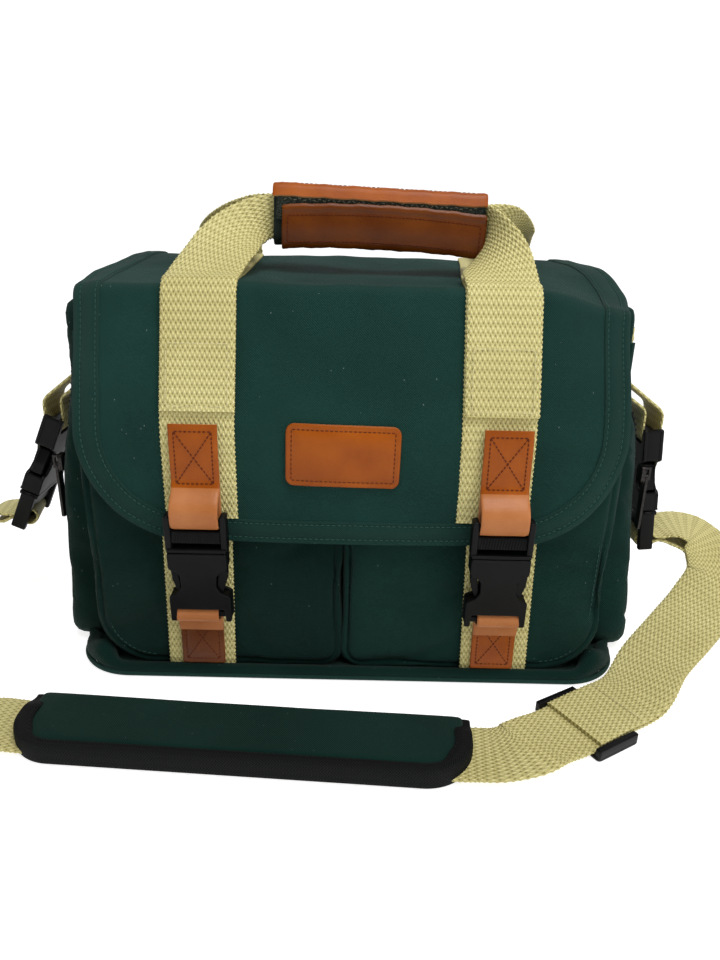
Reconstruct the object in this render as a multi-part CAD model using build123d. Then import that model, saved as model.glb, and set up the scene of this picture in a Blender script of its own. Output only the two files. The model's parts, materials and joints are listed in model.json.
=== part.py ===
"""Shoulder camera bag: padded body, front flap with two buckles, carry handle and shoulder strap.

Millimetres. +X is to the right seen from the front, -Y is the front, +Z is up.
The origin is on the ground under the middle of the main body.
"""
from build123d import *
import math
import os

# ---------------------------------------------------------------- driving dimensions
GAP = 0.3                   # clearance between pieces that only lie against each other

BODY_HALF_W = 146.0         # main body, half width
BODY_FRONT = -58.0
BODY_BACK = 75.0
BODY_TOP = 212.0            # rim of the open body
BODY_CORNER = 30.0          # rounded lower corners of the front and back panels
SHELL_WALL = 3.0            # canvas with its backing
BOARD_THICK = 2.5
LINER_WALL = 7.0            # foam wall
DIVIDER_THICK = 8.0
DIVIDER_X = 46.0
DIVIDER_TOP = 165.0

POCKET_FRONT = -82.0
POCKET_TOP = 146.0
POCKET_WALL = 2.5
PLEAT_X = -4.0              # the two front pockets part here
PLEAT_GAP = 3.0

SIDE_DEPTH = 22.0           # how far an end pocket stands out from the body
SIDE_FRONT = -50.0
SIDE_BACK = 64.0
SIDE_BOTTOM = 4.0
SIDE_TOP = 207.0
SIDE_WALL = 2.5
ZIP_Y = -36.0               # the zip runs up the outer face, near its front edge
ZIP_LOW = 40.0
ZIP_HIGH = 190.0

FLAP_HALF_W = 141.5
FLAP_FRONT = -88.5
FLAP_BACK = 77.0
FLAP_TOP = 226.0            # at the back; the top falls a little towards the front
FLAP_CREST = (-66.0, 220.0)  # Y and Z where the top turns down to the front
FLAP_KNEE = 150.0           # below this the flap hangs straight down over the pockets
FLAP_LOW = 87.0             # lower edge of the front of the flap
FLAP_THICK = 4.0
FLAP_LOW_CORNER = 60.0
FLAP_TOP_CORNER = 12.0
FLAP_CREASE = 14.0          # radius of the crest
KNEE_RADIUS = 60.0
HEM = 14.0
HEM_PROUD = 0.8

WEB_W = 38.0                # webbing width
WEB_T = 2.0                 # webbing thickness
FLAP_WEB_X = 77.0
REAR_WEB_X = {-1.0: 84.0, 1.0: 98.0}
BUCKLE_X = 80.0
POCKET_WEB_X = 83.0
LEATHER_W = 25.0
LEATHER_T = 1.6

BUCKLE_BAR_Y = -93.5        # bar of the lower buckle half on the front
BUCKLE_BAR_Z = 46.0
BUCKLE_TILT = 4.0           # degrees, upper end forward
END_BAR = 55.8              # from a 25 mm buckle's lower bar to its end bar

SIDE_BUCKLE_SCALE = 1.25    # the side buckles are a size larger than the 25 mm ones
SIDE_BAR_X = 181.0
SIDE_BAR_Y = -4.0
SIDE_BAR_Z = 131.0
SIDE_TILT = {"left": 24.0, "right": 5.0}   # degrees, lower end outwards
SIDE_SLOT_W = 31.5          # webbing drawn in where it passes a side buckle

GRIP_X = 12.0
GRIP_LENGTH = 119.0
GRIP_Y = -6.0
GRIP_LOW = 234.0
GRIP_TALL = 31.0
GRIP_DEPTH = 18.0
GRIP_WALL = 3.0
GRIP_TILT = 2.0             # degrees, right end lower

SIDES = {"left": -1.0, "right": 1.0}


# ---------------------------------------------------------------- helpers
def save(node, solid):
    """Write one node."""
    os.makedirs("parts", exist_ok=True)
    export_step(solid, f"parts/{node}.step")


def block(x, y, z):
    """A box between two corners, each axis given as (low, high)."""
    size = (x[1] - x[0], y[1] - y[0], z[1] - z[0])
    middle = ((x[0] + x[1]) / 2, (y[0] + y[1]) / 2, (z[0] + z[1]) / 2)
    return Pos(*middle) * Box(*size)


def panel(outline, front, back):
    """Extrude an outline drawn in X and Z from front to back."""
    return extrude(Plane.XZ.offset(-back) * outline, amount=back - front)


def front_outline(x, z, low_corner, top_corner=0.0):
    """Upright rectangle with rounded lower and, if wanted, rounded upper corners."""
    middle = ((x[0] + x[1]) / 2, (z[0] + z[1]) / 2)
    face = Pos(*middle) * Rectangle(x[1] - x[0], z[1] - z[0])
    rows = face.vertices().group_by(Axis.Y)
    face = fillet(rows[0], low_corner)
    if top_corner:
        face = fillet(face.vertices().group_by(Axis.Y)[-1], top_corner)
    return face


def folded_strip(path, radii, x_middle, width, thick):
    """A strip bent along a path in Y and Z, straight across X."""
    line = FilletPolyline(*path, radius=radii)
    section = Plane.YZ.offset(x_middle) * trace(line, line_width=thick)
    return extrude(section, amount=width / 2, both=True)


def side_strip(path, radii, y_middle, width, thick):
    """A strip bent along a path in X and Z, straight across Y."""
    line = FilletPolyline(*path, radius=radii)
    section = Plane.XZ.offset(-y_middle) * trace(line, line_width=thick)
    return extrude(section, amount=width / 2, both=True)


def ribbon(stations, thick):
    """Flat webbing through (centre, width direction, width) stations, skinned with flat facets."""
    centres = [Vector(*centre) for centre, _, _ in stations]
    rings = []
    for index, (_, across, width) in enumerate(stations):
        before = centres[max(index - 1, 0)]
        after = centres[min(index + 1, len(centres) - 1)]
        along = (after - before).normalized()
        across = Vector(*across)
        across = (across - along * across.dot(along)).normalized()
        side = across * (width / 2)
        lift = along.cross(across) * (thick / 2)
        middle = centres[index]
        rings.append([middle - side - lift, middle + side - lift,
                      middle + side + lift, middle - side + lift])
    facets = []
    for low, high in zip(rings, rings[1:]):
        for corner in range(4):
            beside = (corner + 1) % 4
            facets.append((low[corner], low[beside], high[beside]))
            facets.append((low[corner], high[beside], high[corner]))
    facets += [tuple(reversed(rings[0])), tuple(rings[-1])]
    skin = Shell([Face(Wire.make_polygon(facet)) for facet in facets])
    return Solid(skin)


# ---------------------------------------------------------------- body and inside
def make_body():
    z_floor = SHELL_WALL
    outer = panel(
        front_outline((-BODY_HALF_W, BODY_HALF_W), (0, BODY_TOP), BODY_CORNER),
        BODY_FRONT, BODY_BACK,
    )
    inner_w = BODY_HALF_W - SHELL_WALL
    inner = panel(
        front_outline((-inner_w, inner_w), (z_floor, BODY_TOP + 1), BODY_CORNER - SHELL_WALL),
        BODY_FRONT + SHELL_WALL, BODY_BACK - SHELL_WALL,
    )
    save("main_shell", outer - inner)

    board_w = BODY_HALF_W - BODY_CORNER - 1
    depth = (BODY_FRONT + SHELL_WALL + GAP, BODY_BACK - SHELL_WALL - GAP)
    save("base_board", block((-board_w, board_w), depth, (z_floor, z_floor + BOARD_THICK)))

    liner_w = inner_w - GAP
    liner_low = z_floor + BOARD_THICK
    liner_corner = BODY_CORNER - SHELL_WALL
    liner_top = BODY_TOP - 6
    liner = panel(
        front_outline((-liner_w, liner_w), (liner_low, liner_top), liner_corner),
        depth[0], depth[1],
    )
    room_w = liner_w - LINER_WALL
    room_low = liner_low + LINER_WALL
    room = panel(
        front_outline((-room_w, room_w), (room_low, liner_top + 1), liner_corner - LINER_WALL),
        depth[0] + LINER_WALL, depth[1] - LINER_WALL,
    )
    save("padded_liner", liner - room)

    span = (depth[0] + LINER_WALL + GAP, depth[1] - LINER_WALL - GAP)
    for side, sign in SIDES.items():
        x_middle = sign * DIVIDER_X
        half = DIVIDER_THICK / 2
        wall = block((x_middle - half, x_middle + half), span, (room_low + GAP, DIVIDER_TOP))
        tops = wall.edges().group_by(Axis.Z)[-1].filter_by(Axis.X)
        save(f"divider_{side}", fillet(tops, 8.0))


def make_front_pockets():
    spans = {
        "left": (-BODY_HALF_W + 2, PLEAT_X - PLEAT_GAP / 2),
        "right": (PLEAT_X + PLEAT_GAP / 2, BODY_HALF_W - 2),
    }
    back = BODY_FRONT - GAP
    for side, (x_low, x_high) in spans.items():
        outline = front_outline((x_low, x_high), (3.0, POCKET_TOP), BODY_CORNER - 4)
        inside = front_outline(
            (x_low + POCKET_WALL, x_high - POCKET_WALL),
            (3.0 + POCKET_WALL, POCKET_TOP + 1),
            BODY_CORNER - 4 - POCKET_WALL,
        )
        outer = panel(outline, POCKET_FRONT, back)
        front_edges = outer.faces().sort_by(Axis.Y)[0].edges().filter_by(
            lambda edge: edge.center().Z < POCKET_TOP - 1
        )
        outer = fillet(front_edges, 5.0)
        hollow = panel(inside, POCKET_FRONT + POCKET_WALL, back + 1)
        save(f"front_pocket_{side}", outer - hollow)

        sign = SIDES[side]
        x_web = sign * POCKET_WEB_X
        face = POCKET_FRONT - GAP
        web = block(
            (x_web - WEB_W / 2, x_web + WEB_W / 2), (face - WEB_T, face), (5.0, POCKET_TOP - 6),
        )
        save(f"pocket_webbing_{side}", web)

        y_back = face - WEB_T - 0.1 - LEATHER_T / 2
        y_front = y_back - LEATHER_T - 0.1
        loop_top = BUCKLE_BAR_Z + 3.7
        path = [
            (y_back, 8.0), (y_back, 35.0), (BUCKLE_BAR_Y + 4.0, loop_top),
            (BUCKLE_BAR_Y - 4.4, loop_top), (BUCKLE_BAR_Y - 4.0, 40.0), (y_front, 31.0),
            (y_front, 8.0),
        ]
        loop = folded_strip(path, [5, 2.6, 2.6, 3, 4], sign * BUCKLE_X, LEATHER_W, LEATHER_T)
        save(f"lower_leather_tab_{side}", loop)


def make_side_pockets():
    """End pockets, each a tray closed by the body's end wall, with a zip up its outer face."""
    inner_x = BODY_HALF_W + GAP
    outer_x = inner_x + SIDE_DEPTH
    for side, sign in SIDES.items():
        shell = block((inner_x, outer_x), (SIDE_FRONT, SIDE_BACK), (SIDE_BOTTOM, SIDE_TOP))
        shell = fillet(shell.faces().sort_by(Axis.X)[-1].edges(), 9.0)
        hollow = block(
            (inner_x - 1, outer_x - SIDE_WALL),
            (SIDE_FRONT + SIDE_WALL, SIDE_BACK - SIDE_WALL),
            (SIDE_BOTTOM + SIDE_WALL, SIDE_TOP - SIDE_WALL),
        )
        hollow = fillet(hollow.faces().sort_by(Axis.X)[-1].edges(), 7.0)
        slit = block((outer_x - SIDE_WALL - 1, outer_x + 1), (ZIP_Y - 3, ZIP_Y + 3), (ZIP_LOW, ZIP_HIGH))
        shell = shell - hollow - slit
        tape = block((outer_x + 0.1, outer_x + 1.1), (ZIP_Y - 5, ZIP_Y + 5), (ZIP_LOW - 4, ZIP_HIGH + 4))
        chain_y = ZIP_Y
        chain = block((outer_x + 1.1, outer_x + 2.3), (chain_y - 1.5, chain_y + 1.5), (ZIP_LOW, ZIP_HIGH))

        slider_z = 112.0
        x0 = outer_x + 2.6
        body = block((x0, x0 + 2.4), (chain_y - 4, chain_y + 4), (slider_z - 5, slider_z + 5))
        body = fillet(body.edges().filter_by(Axis.X), 2.0)
        bail = block((x0 + 2.4, x0 + 6.4), (chain_y - 1.2, chain_y + 1.2), (slider_z - 4, slider_z + 4))
        eye = block((x0 + 2.4, x0 + 5.2), (chain_y - 2, chain_y + 2), (slider_z - 2.6, slider_z + 2.6))
        slider = body + (bail - eye)

        hang_x = x0 + 3.8
        hang_z = slider_z - 1.2
        tag = block((hang_x - 0.7, hang_x + 0.7), (chain_y - 3.2, chain_y + 3.2), (hang_z - 34, hang_z + 1.0))
        tag = fillet(tag.edges().filter_by(Axis.X), 1.9)
        window = block((hang_x - 2, hang_x + 2), (chain_y - 1.7, chain_y + 1.7), (hang_z - 6.0, hang_z - 0.2))
        tag = tag - window
        print(side, "zip pull pivot", sign * hang_x, chain_y, hang_z, "slider z", slider_z)

        pieces = {
            f"side_pocket_{side}": shell,
            f"side_zip_{side}": tape + chain,
            f"zip_slider_{side}": slider,
            f"zip_pull_{side}": tag,
        }
        for node, solid in pieces.items():
            save(node, solid if sign > 0 else mirror(solid, about=Plane.YZ))


# ---------------------------------------------------------------- buckles
def buckle_halves():
    """A 25 mm side-release buckle.

    Its receiving half hangs by a bar at the origin and opens towards +Z; the ladder-lock
    half stands in it. X is across the buckle and -Y is its face.
    """
    bar = block((-13.5, 13.5), (-2.2, 2.2), (-2.0, 2.0))
    posts = block((12.9, 16.2), (-3.2, 3.2), (-3.0, 9.0))
    posts += mirror(posts, about=Plane.YZ)
    wings = block((-16.6, 16.6), (-4.5, 4.5), (7.0, 13.0))
    waist = block((-9.6, 9.6), (-4.5, 4.5), (12.0, 29.5))
    mouth = block((-15.6, 15.6), (-5.0, 5.0), (28.5, 39.0))
    mouth = fillet(mouth.edges().filter_by(Axis.Z), 2.4)
    throat = block((-13.6, 13.6), (-3.0, 3.0), (14.5, 40.0))
    female = bar + posts + wings + waist + mouth - throat

    collar = block((-15.6, 15.6), (-4.6, 4.6), (39.4, 41.4))
    cheeks = block((12.9, 16.2), (-3.4, 3.4), (40.0, 60.5))
    cheeks += mirror(cheeks, about=Plane.YZ)
    grip_bar = block((-13.5, 13.5), (-3.0, 1.6), (45.6, 50.4))
    end_bar = block((-13.5, 13.5), (-1.8, 1.8), (END_BAR - 1.8, END_BAR + 1.8))
    tongue = block((-2.4, 2.4), (-1.6, 1.6), (15.0, 40.0))
    male = collar + cheeks + grip_bar + end_bar + tongue

    arm = block((9.0, 11.4), (-2.3, 2.3), (14.9, 39.1))
    pad = Plane.XZ.offset(-2.6) * make_face(
        Line((10.4, 14.9), (11.6, 14.9))
        + ThreePointArc((11.6, 14.9), (14.2, 20.8), (15.0, 28.1))
        + Line((15.0, 28.1), (10.4, 28.1))
        + Line((10.4, 28.1), (10.4, 14.9))
    )
    prong = arm + extrude(pad, amount=5.2)
    return female, male, prong, mirror(prong, about=Plane.YZ)


PRONG_PIVOT = Vector(10.2, 0, 39.1)


def report_pivot(label, place, size):
    """Print where a buckle's prongs bend and along which axis."""
    for name, sign in SIDES.items():
        point = Vector(sign * PRONG_PIVOT.X, 0, PRONG_PIVOT.Z) * size
        spot = place.from_local_coords(point)
        print(label, name, "prong pivot", tuple(round(v, 3) for v in spot))
    axis = place.y_dir
    print(label, "prong axis", tuple(round(v, 5) for v in axis))


def make_buckles():
    female, male, prong_right, prong_left = buckle_halves()
    for side, sign in SIDES.items():
        lean = math.radians(BUCKLE_TILT)
        place = Plane(
            origin=(sign * BUCKLE_X, BUCKLE_BAR_Y, BUCKLE_BAR_Z),
            x_dir=(1, 0, 0),
            z_dir=(0, -math.sin(lean), math.cos(lean)),
        )
        save(f"front_buckle_socket_{side}", place.location * female)
        save(f"front_buckle_plug_{side}", place.location * male)
        save(f"front_buckle_prong_a_{side}", place.location * prong_left)
        save(f"front_buckle_prong_b_{side}", place.location * prong_right)
        report_pivot(f"front {side}", place, 1.0)

    size = SIDE_BUCKLE_SCALE
    for side, sign in SIDES.items():
        lean = math.radians(SIDE_TILT[side])
        place = Plane(
            origin=(sign * SIDE_BAR_X, SIDE_BAR_Y, SIDE_BAR_Z),
            x_dir=(0, -sign, 0),
            z_dir=(sign * math.sin(lean), 0, -math.cos(lean)),
        )
        save(f"side_buckle_socket_{side}", place.location * scale(female, by=size))
        save(f"side_buckle_plug_{side}", place.location * scale(male, by=size))
        save(f"side_buckle_prong_a_{side}", place.location * scale(prong_left, by=size))
        save(f"side_buckle_prong_b_{side}", place.location * scale(prong_right, by=size))
        report_pivot(f"side {side}", place, size)
        end_bar = place.from_local_coords(Vector(0, 0, END_BAR * size))
        print(f"side {side} end bar", tuple(round(v, 2) for v in end_bar))


def make_side_tabs():
    """Webbing loops on the end pockets that the side buckles hang from."""
    face = BODY_HALF_W + GAP + SIDE_DEPTH
    x_back = face + 0.1 + WEB_T / 2
    x_front = x_back + WEB_T + 0.1
    low = SIDE_BAR_Z - 5.2
    path = [
        (x_back, 198.0), (x_back, 158.0), (SIDE_BAR_X - 5.0, 139.0),
        (SIDE_BAR_X - 4.6, low), (SIDE_BAR_X + 4.8, low), (SIDE_BAR_X + 4.8, 141.0),
        (x_front, 160.0), (x_front, 194.0),
    ]
    tab = side_strip(path, [8, 3, 3, 3, 6, 8], SIDE_BAR_Y, SIDE_SLOT_W, WEB_T)
    save("side_tab_right", tab)
    save("side_tab_left", mirror(tab, about=Plane.YZ))


# ---------------------------------------------------------------- flap
def flap_path(inset):
    """Corners of the flap's section in Y and Z, from its lower front edge to its upper back edge.

    The section is moved inwards by inset, or outwards where that is negative.
    """
    crest_y, crest_z = FLAP_CREST
    lean = math.atan2(crest_y - FLAP_FRONT, crest_z - FLAP_KNEE)
    rise = math.atan2(FLAP_TOP - crest_z, FLAP_BACK - crest_y)
    knee = (FLAP_FRONT + inset, FLAP_KNEE - inset * math.tan(lean / 2))
    spread = inset / math.cos(lean + rise)
    crest = (
        crest_y + spread * (math.cos(rise) - math.sin(lean)),
        crest_z - spread * (math.cos(lean) - math.sin(rise)),
    )
    back_y = FLAP_BACK - inset
    back = (back_y, crest_z + ((back_y - crest_y) * math.sin(rise) - inset) / math.cos(rise))
    return [(FLAP_FRONT + inset, FLAP_LOW), knee, crest, back]


def make_flap():
    """The flap covers the open top and hangs in front of the pockets, sewn along the back."""
    x = (-FLAP_HALF_W, FLAP_HALF_W)
    low, knee, crest, back = flap_path(0)
    foot = (FLAP_BACK, FLAP_LOW)
    upper = FilletPolyline(low, knee, crest, back, foot, radius=[KNEE_RADIUS, FLAP_CREASE, 6.0])
    profile = make_face(Plane.YZ * (upper + Line(foot, low)))
    band = extrude(Pos(-FLAP_HALF_W, 0, 0) * profile, amount=2 * FLAP_HALF_W, dir=(1, 0, 0))
    outline = front_outline(x, (FLAP_LOW, FLAP_TOP), FLAP_LOW_CORNER, FLAP_TOP_CORNER)
    outer = panel(outline, FLAP_FRONT, FLAP_BACK) & band

    thick = FLAP_THICK
    low, knee, crest, back = flap_path(thick)
    low = (low[0], FLAP_LOW - 1)
    foot = (back[0], FLAP_LOW - 1)
    inner = FilletPolyline(
        low, knee, crest, back, foot, radius=[KNEE_RADIUS - thick, FLAP_CREASE - thick, 2.0]
    )
    room = make_face(Plane.YZ * (inner + Line(foot, low)))
    inside_w = FLAP_HALF_W - thick
    hollow = extrude(Pos(-inside_w, 0, 0) * room, amount=2 * inside_w, dir=(1, 0, 0))
    full = extrude(Pos(-FLAP_HALF_W - 1, 0, 0) * room, amount=2 * FLAP_HALF_W + 2, dir=(1, 0, 0))
    skirt_low = BODY_TOP + 1.0
    below = full & block(
        (-FLAP_HALF_W - 1, FLAP_HALF_W + 1), (FLAP_FRONT, FLAP_BACK + 1), (0, skirt_low)
    )
    behind = block(
        (-FLAP_HALF_W - 1, FLAP_HALF_W + 1), (foot[0] - 1, FLAP_BACK + 1), (0, skirt_low)
    )
    save("flap", outer - hollow - below - behind)

    hem_z = (FLAP_LOW, FLAP_KNEE - 14)
    full = front_outline(x, hem_z, FLAP_LOW_CORNER - 13)
    cut_x = (x[0] + HEM, x[1] - HEM)
    cut = front_outline(cut_x, (FLAP_LOW + HEM, hem_z[1] + 1), FLAP_LOW_CORNER - HEM - 13)
    outline = front_outline(x, (FLAP_LOW, FLAP_KNEE + 60), FLAP_LOW_CORNER)
    save("flap_binding", panel((full - cut) & outline, FLAP_FRONT - HEM_PROUD, FLAP_FRONT))

    patch_face = front_outline((-33.5, 25.5), (119.5, 152.5), 5.0, 5.0)
    patch_lean = Pos(0, FLAP_FRONT, 136) * Rot(-6, 0, 0) * Pos(0, -FLAP_FRONT - 3.6, -136)
    save("leather_patch", patch_lean * panel(patch_face, FLAP_FRONT - 2.0, FLAP_FRONT))


def make_flap_webbing():
    hem_top = FLAP_LOW + HEM
    low, knee, crest, back = flap_path(-WEB_T / 2)
    reach = 66.0
    rise = (back[1] - crest[1]) / (back[0] - crest[0])
    end = (reach, crest[1] + (reach - crest[0]) * rise)
    web_path = [(low[0], hem_top + 2.8), knee, crest, end]
    web_radii = [KNEE_RADIUS + WEB_T / 2, FLAP_CREASE + WEB_T / 2]
    for side, sign in SIDES.items():
        web = folded_strip(web_path, web_radii, sign * FLAP_WEB_X, WEB_W, WEB_T)
        save(f"flap_webbing_{side}", web)

        y_back = FLAP_FRONT - WEB_T - 0.1 - LEATHER_T / 2
        y_front = y_back - LEATHER_T - 0.1
        lean = math.radians(BUCKLE_TILT)
        bar_y = BUCKLE_BAR_Y - END_BAR * math.sin(lean)
        bar_z = BUCKLE_BAR_Z + END_BAR * math.cos(lean)
        tab_top = 139.0
        path = [
            (y_back, tab_top), (y_back, bar_z + 4.0), (bar_y + 4.0, bar_z - 3.2),
            (bar_y - 3.8, bar_z - 3.2), (bar_y - 3.9, bar_z + 5.0), (y_front, 120.0),
            (y_front, tab_top),
        ]
        tab = folded_strip(path, [1.0, 1.4, 1.8, 3, 5], sign * BUCKLE_X, LEATHER_W, LEATHER_T)
        save(f"upper_leather_tab_{side}", tab)


# ---------------------------------------------------------------- handle
def leg_top(sign, grip_end, y_run, y_from):
    """The last stretch of a leg, turning in plan and standing on edge as it enters the grip."""
    z_run = GRIP_LOW + GRIP_TALL / 2 - sign * GRIP_LENGTH / 2 * math.sin(math.radians(GRIP_TILT))
    y_step = (y_from - y_run) / 3
    return [
        ((grip_end + sign * 6, y_run + 1.6 * y_step, z_run - 3), (0.55, 0, 0.85 * sign), 32.0),
        ((grip_end + sign * 5, y_run + 0.4 * y_step, z_run), (0.1, 0, sign), 27.0),
        ((grip_end, y_run, z_run), (0, 0, sign), 23.0),
    ]


def leg_front(sign, grip_end):
    """Front leg of the handle: sewn up the flap, over its crest, then up to the grip."""
    lift = WEB_T + 0.3 + WEB_T / 2
    _, knee, crest, _ = flap_path(-lift)
    slope = (crest[1] - knee[1]) / (crest[0] - knee[0])
    x_web = sign * FLAP_WEB_X
    stations = []
    for z in (158.0, 185.0, crest[1] - 9.0):
        stations.append(((x_web, knee[0] + (z - knee[1]) / slope, z), (1, 0, 0), WEB_W))
    stations += [
        ((x_web, crest[0] - 1.0, crest[1] - 2.0), (1, 0, 0), WEB_W),
        ((x_web, crest[0] + 4.0, crest[1] + 2.4), (1, 0, 0), WEB_W),
        ((x_web, crest[0] + 12.0, crest[1] + 6.0), (1, 0, 0), WEB_W),
    ]
    x_mid = x_web + 0.3 * (grip_end - x_web)
    stations.append(((x_mid, -42.0, 237.0), (0.97, 0, 0.2 * sign), WEB_W - 2))
    return ribbon(stations + leg_top(sign, grip_end, GRIP_Y - 2.4, -42.0), WEB_T)


def leg_rear(sign, grip_end):
    """Rear leg: sewn to the turned-down back edge of the flap, then up and forward to the grip."""
    y_web = FLAP_BACK + 0.2 + WEB_T / 2
    x_web = sign * REAR_WEB_X[sign]
    reach = grip_end - x_web
    stations = [
        ((x_web, y_web, BODY_TOP + 2.0), (1, 0, 0), WEB_W),
        ((x_web, y_web, FLAP_TOP), (1, 0, 0), WEB_W),
        ((x_web + 0.05 * reach, y_web - 1.5, FLAP_TOP + 9), (1, 0, 0), WEB_W),
        ((x_web + 0.15 * reach, y_web - 11.0, FLAP_TOP + 16), (1, 0, 0.05 * sign), WEB_W),
        ((x_web + 0.5 * reach, 42.0, FLAP_TOP + 22), (0.95, 0, 0.25 * sign), WEB_W - 2),
    ]
    return ribbon(stations + leg_top(sign, grip_end, GRIP_Y + 2.4, 42.0), WEB_T)


def make_handle():
    tilt = Pos(GRIP_X, GRIP_Y, GRIP_LOW) * Rot(0, GRIP_TILT, 0)
    half = GRIP_LENGTH / 2
    ends = {-1.0: GRIP_X - half - 4, 1.0: GRIP_X + half + 4}
    for node, leg, y_run in (
        ("handle_front_loop", leg_front, -2.4),
        ("handle_rear_loop", leg_rear, 2.4),
    ):
        run = tilt * Pos(0, y_run, GRIP_TALL / 2) * Box(GRIP_LENGTH + 10, WEB_T, 23.0)
        loop = run
        for sign, grip_end in ends.items():
            loop = loop + leg(sign, grip_end)
        save(node, loop)

    tall = (0, GRIP_TALL)
    deep = GRIP_DEPTH / 2
    sleeve = block((-half, half), (-deep, deep), tall)
    sleeve = fillet(sleeve.edges().filter_by(Axis.X), 5.0)
    tunnel = block(
        (-half - 1, half + 1), (-deep + GRIP_WALL, deep - GRIP_WALL), (GRIP_WALL, tall[1] - GRIP_WALL)
    )
    save("grip_sleeve", tilt * (sleeve - tunnel))

    rear = block((-half + 1, half - 1), (-deep + 4, deep + 2.0), (2.0, tall[1] + 2.0))
    rear = fillet(rear.edges().filter_by(Axis.X), 4.0)
    rear = rear - block((-half, half), (-deep - 1, deep + 0.1), (-1, tall[1] + 0.1))
    save("grip_leather_rear", tilt * rear)

    hook = block((-half + 4, half - 4), (-deep - 1.2, -deep - 0.1), (14.0, 26.0))
    save("grip_hook_strip", tilt * hook)

    closing = block((-half + 6, half - 1), (-deep - 4.2, -deep - 1.5), (0.5, 22.0))
    closing = fillet(closing.edges().filter_by(Axis.Y), 3.0)
    save("grip_leather_front", tilt * closing)
    print("grip panel pivot", GRIP_X, GRIP_Y - deep - 2.8, GRIP_LOW + 0.5)


# ---------------------------------------------------------------- shoulder strap
STRAP_Z = 3.7                        # middle of the webbing where it lies along the ground
SLIDER_AT = (127.0, -126.0)
SLIDER_TO_PAD = (-0.8572, -0.5150)   # direction of the strap at the slider
PAD_MIDDLE = (-52.0, -145.0)
PAD_TURN = -3.45                     # degrees, right end nearer the front
PAD_LENGTH = 232.0
PAD_WIDTH = 46.0
PAD_LOW = 0.2
PAD_THICK = 10.8
PAD_EDGE = 6.0
PAD_END_EDGE = 9.0


def along_slider(distance):
    """A point of the strap's middle line, this far from the slider towards the pad."""
    return (
        SLIDER_AT[0] + SLIDER_TO_PAD[0] * distance,
        SLIDER_AT[1] + SLIDER_TO_PAD[1] * distance,
    )


def along_pad(distance):
    """A point of the pad's middle line, this far to the right of its middle."""
    turn = math.radians(PAD_TURN)
    return (
        PAD_MIDDLE[0] + distance * math.cos(turn),
        PAD_MIDDLE[1] + distance * math.sin(turn),
    )


def side_end_bar(side):
    """X and Z of a side buckle's end bar, where the shoulder strap is looped on."""
    lean = math.radians(SIDE_TILT[side])
    reach = END_BAR * SIDE_BUCKLE_SCALE
    return SIDES[side] * (SIDE_BAR_X + reach * math.sin(lean)), SIDE_BAR_Z - reach * math.cos(lean)


def buckle_ring(sign, bar_x, bar_z):
    """Webbing turned round a side buckle's end bar."""
    ring = Plane.XZ.offset(-SIDE_BAR_Y) * (Pos(bar_x, bar_z) * (Circle(5.8) - Circle(3.8)))
    tail_x = (bar_x + sign * 4.6, bar_x + sign * 13.0)
    span = (SIDE_BAR_Y - SIDE_SLOT_W / 2, SIDE_BAR_Y + SIDE_SLOT_W / 2)
    tail = block((min(tail_x), max(tail_x)), span, (bar_z - 2.1, bar_z + 2.1))
    return extrude(ring, amount=SIDE_SLOT_W / 2, both=True) + tail


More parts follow.
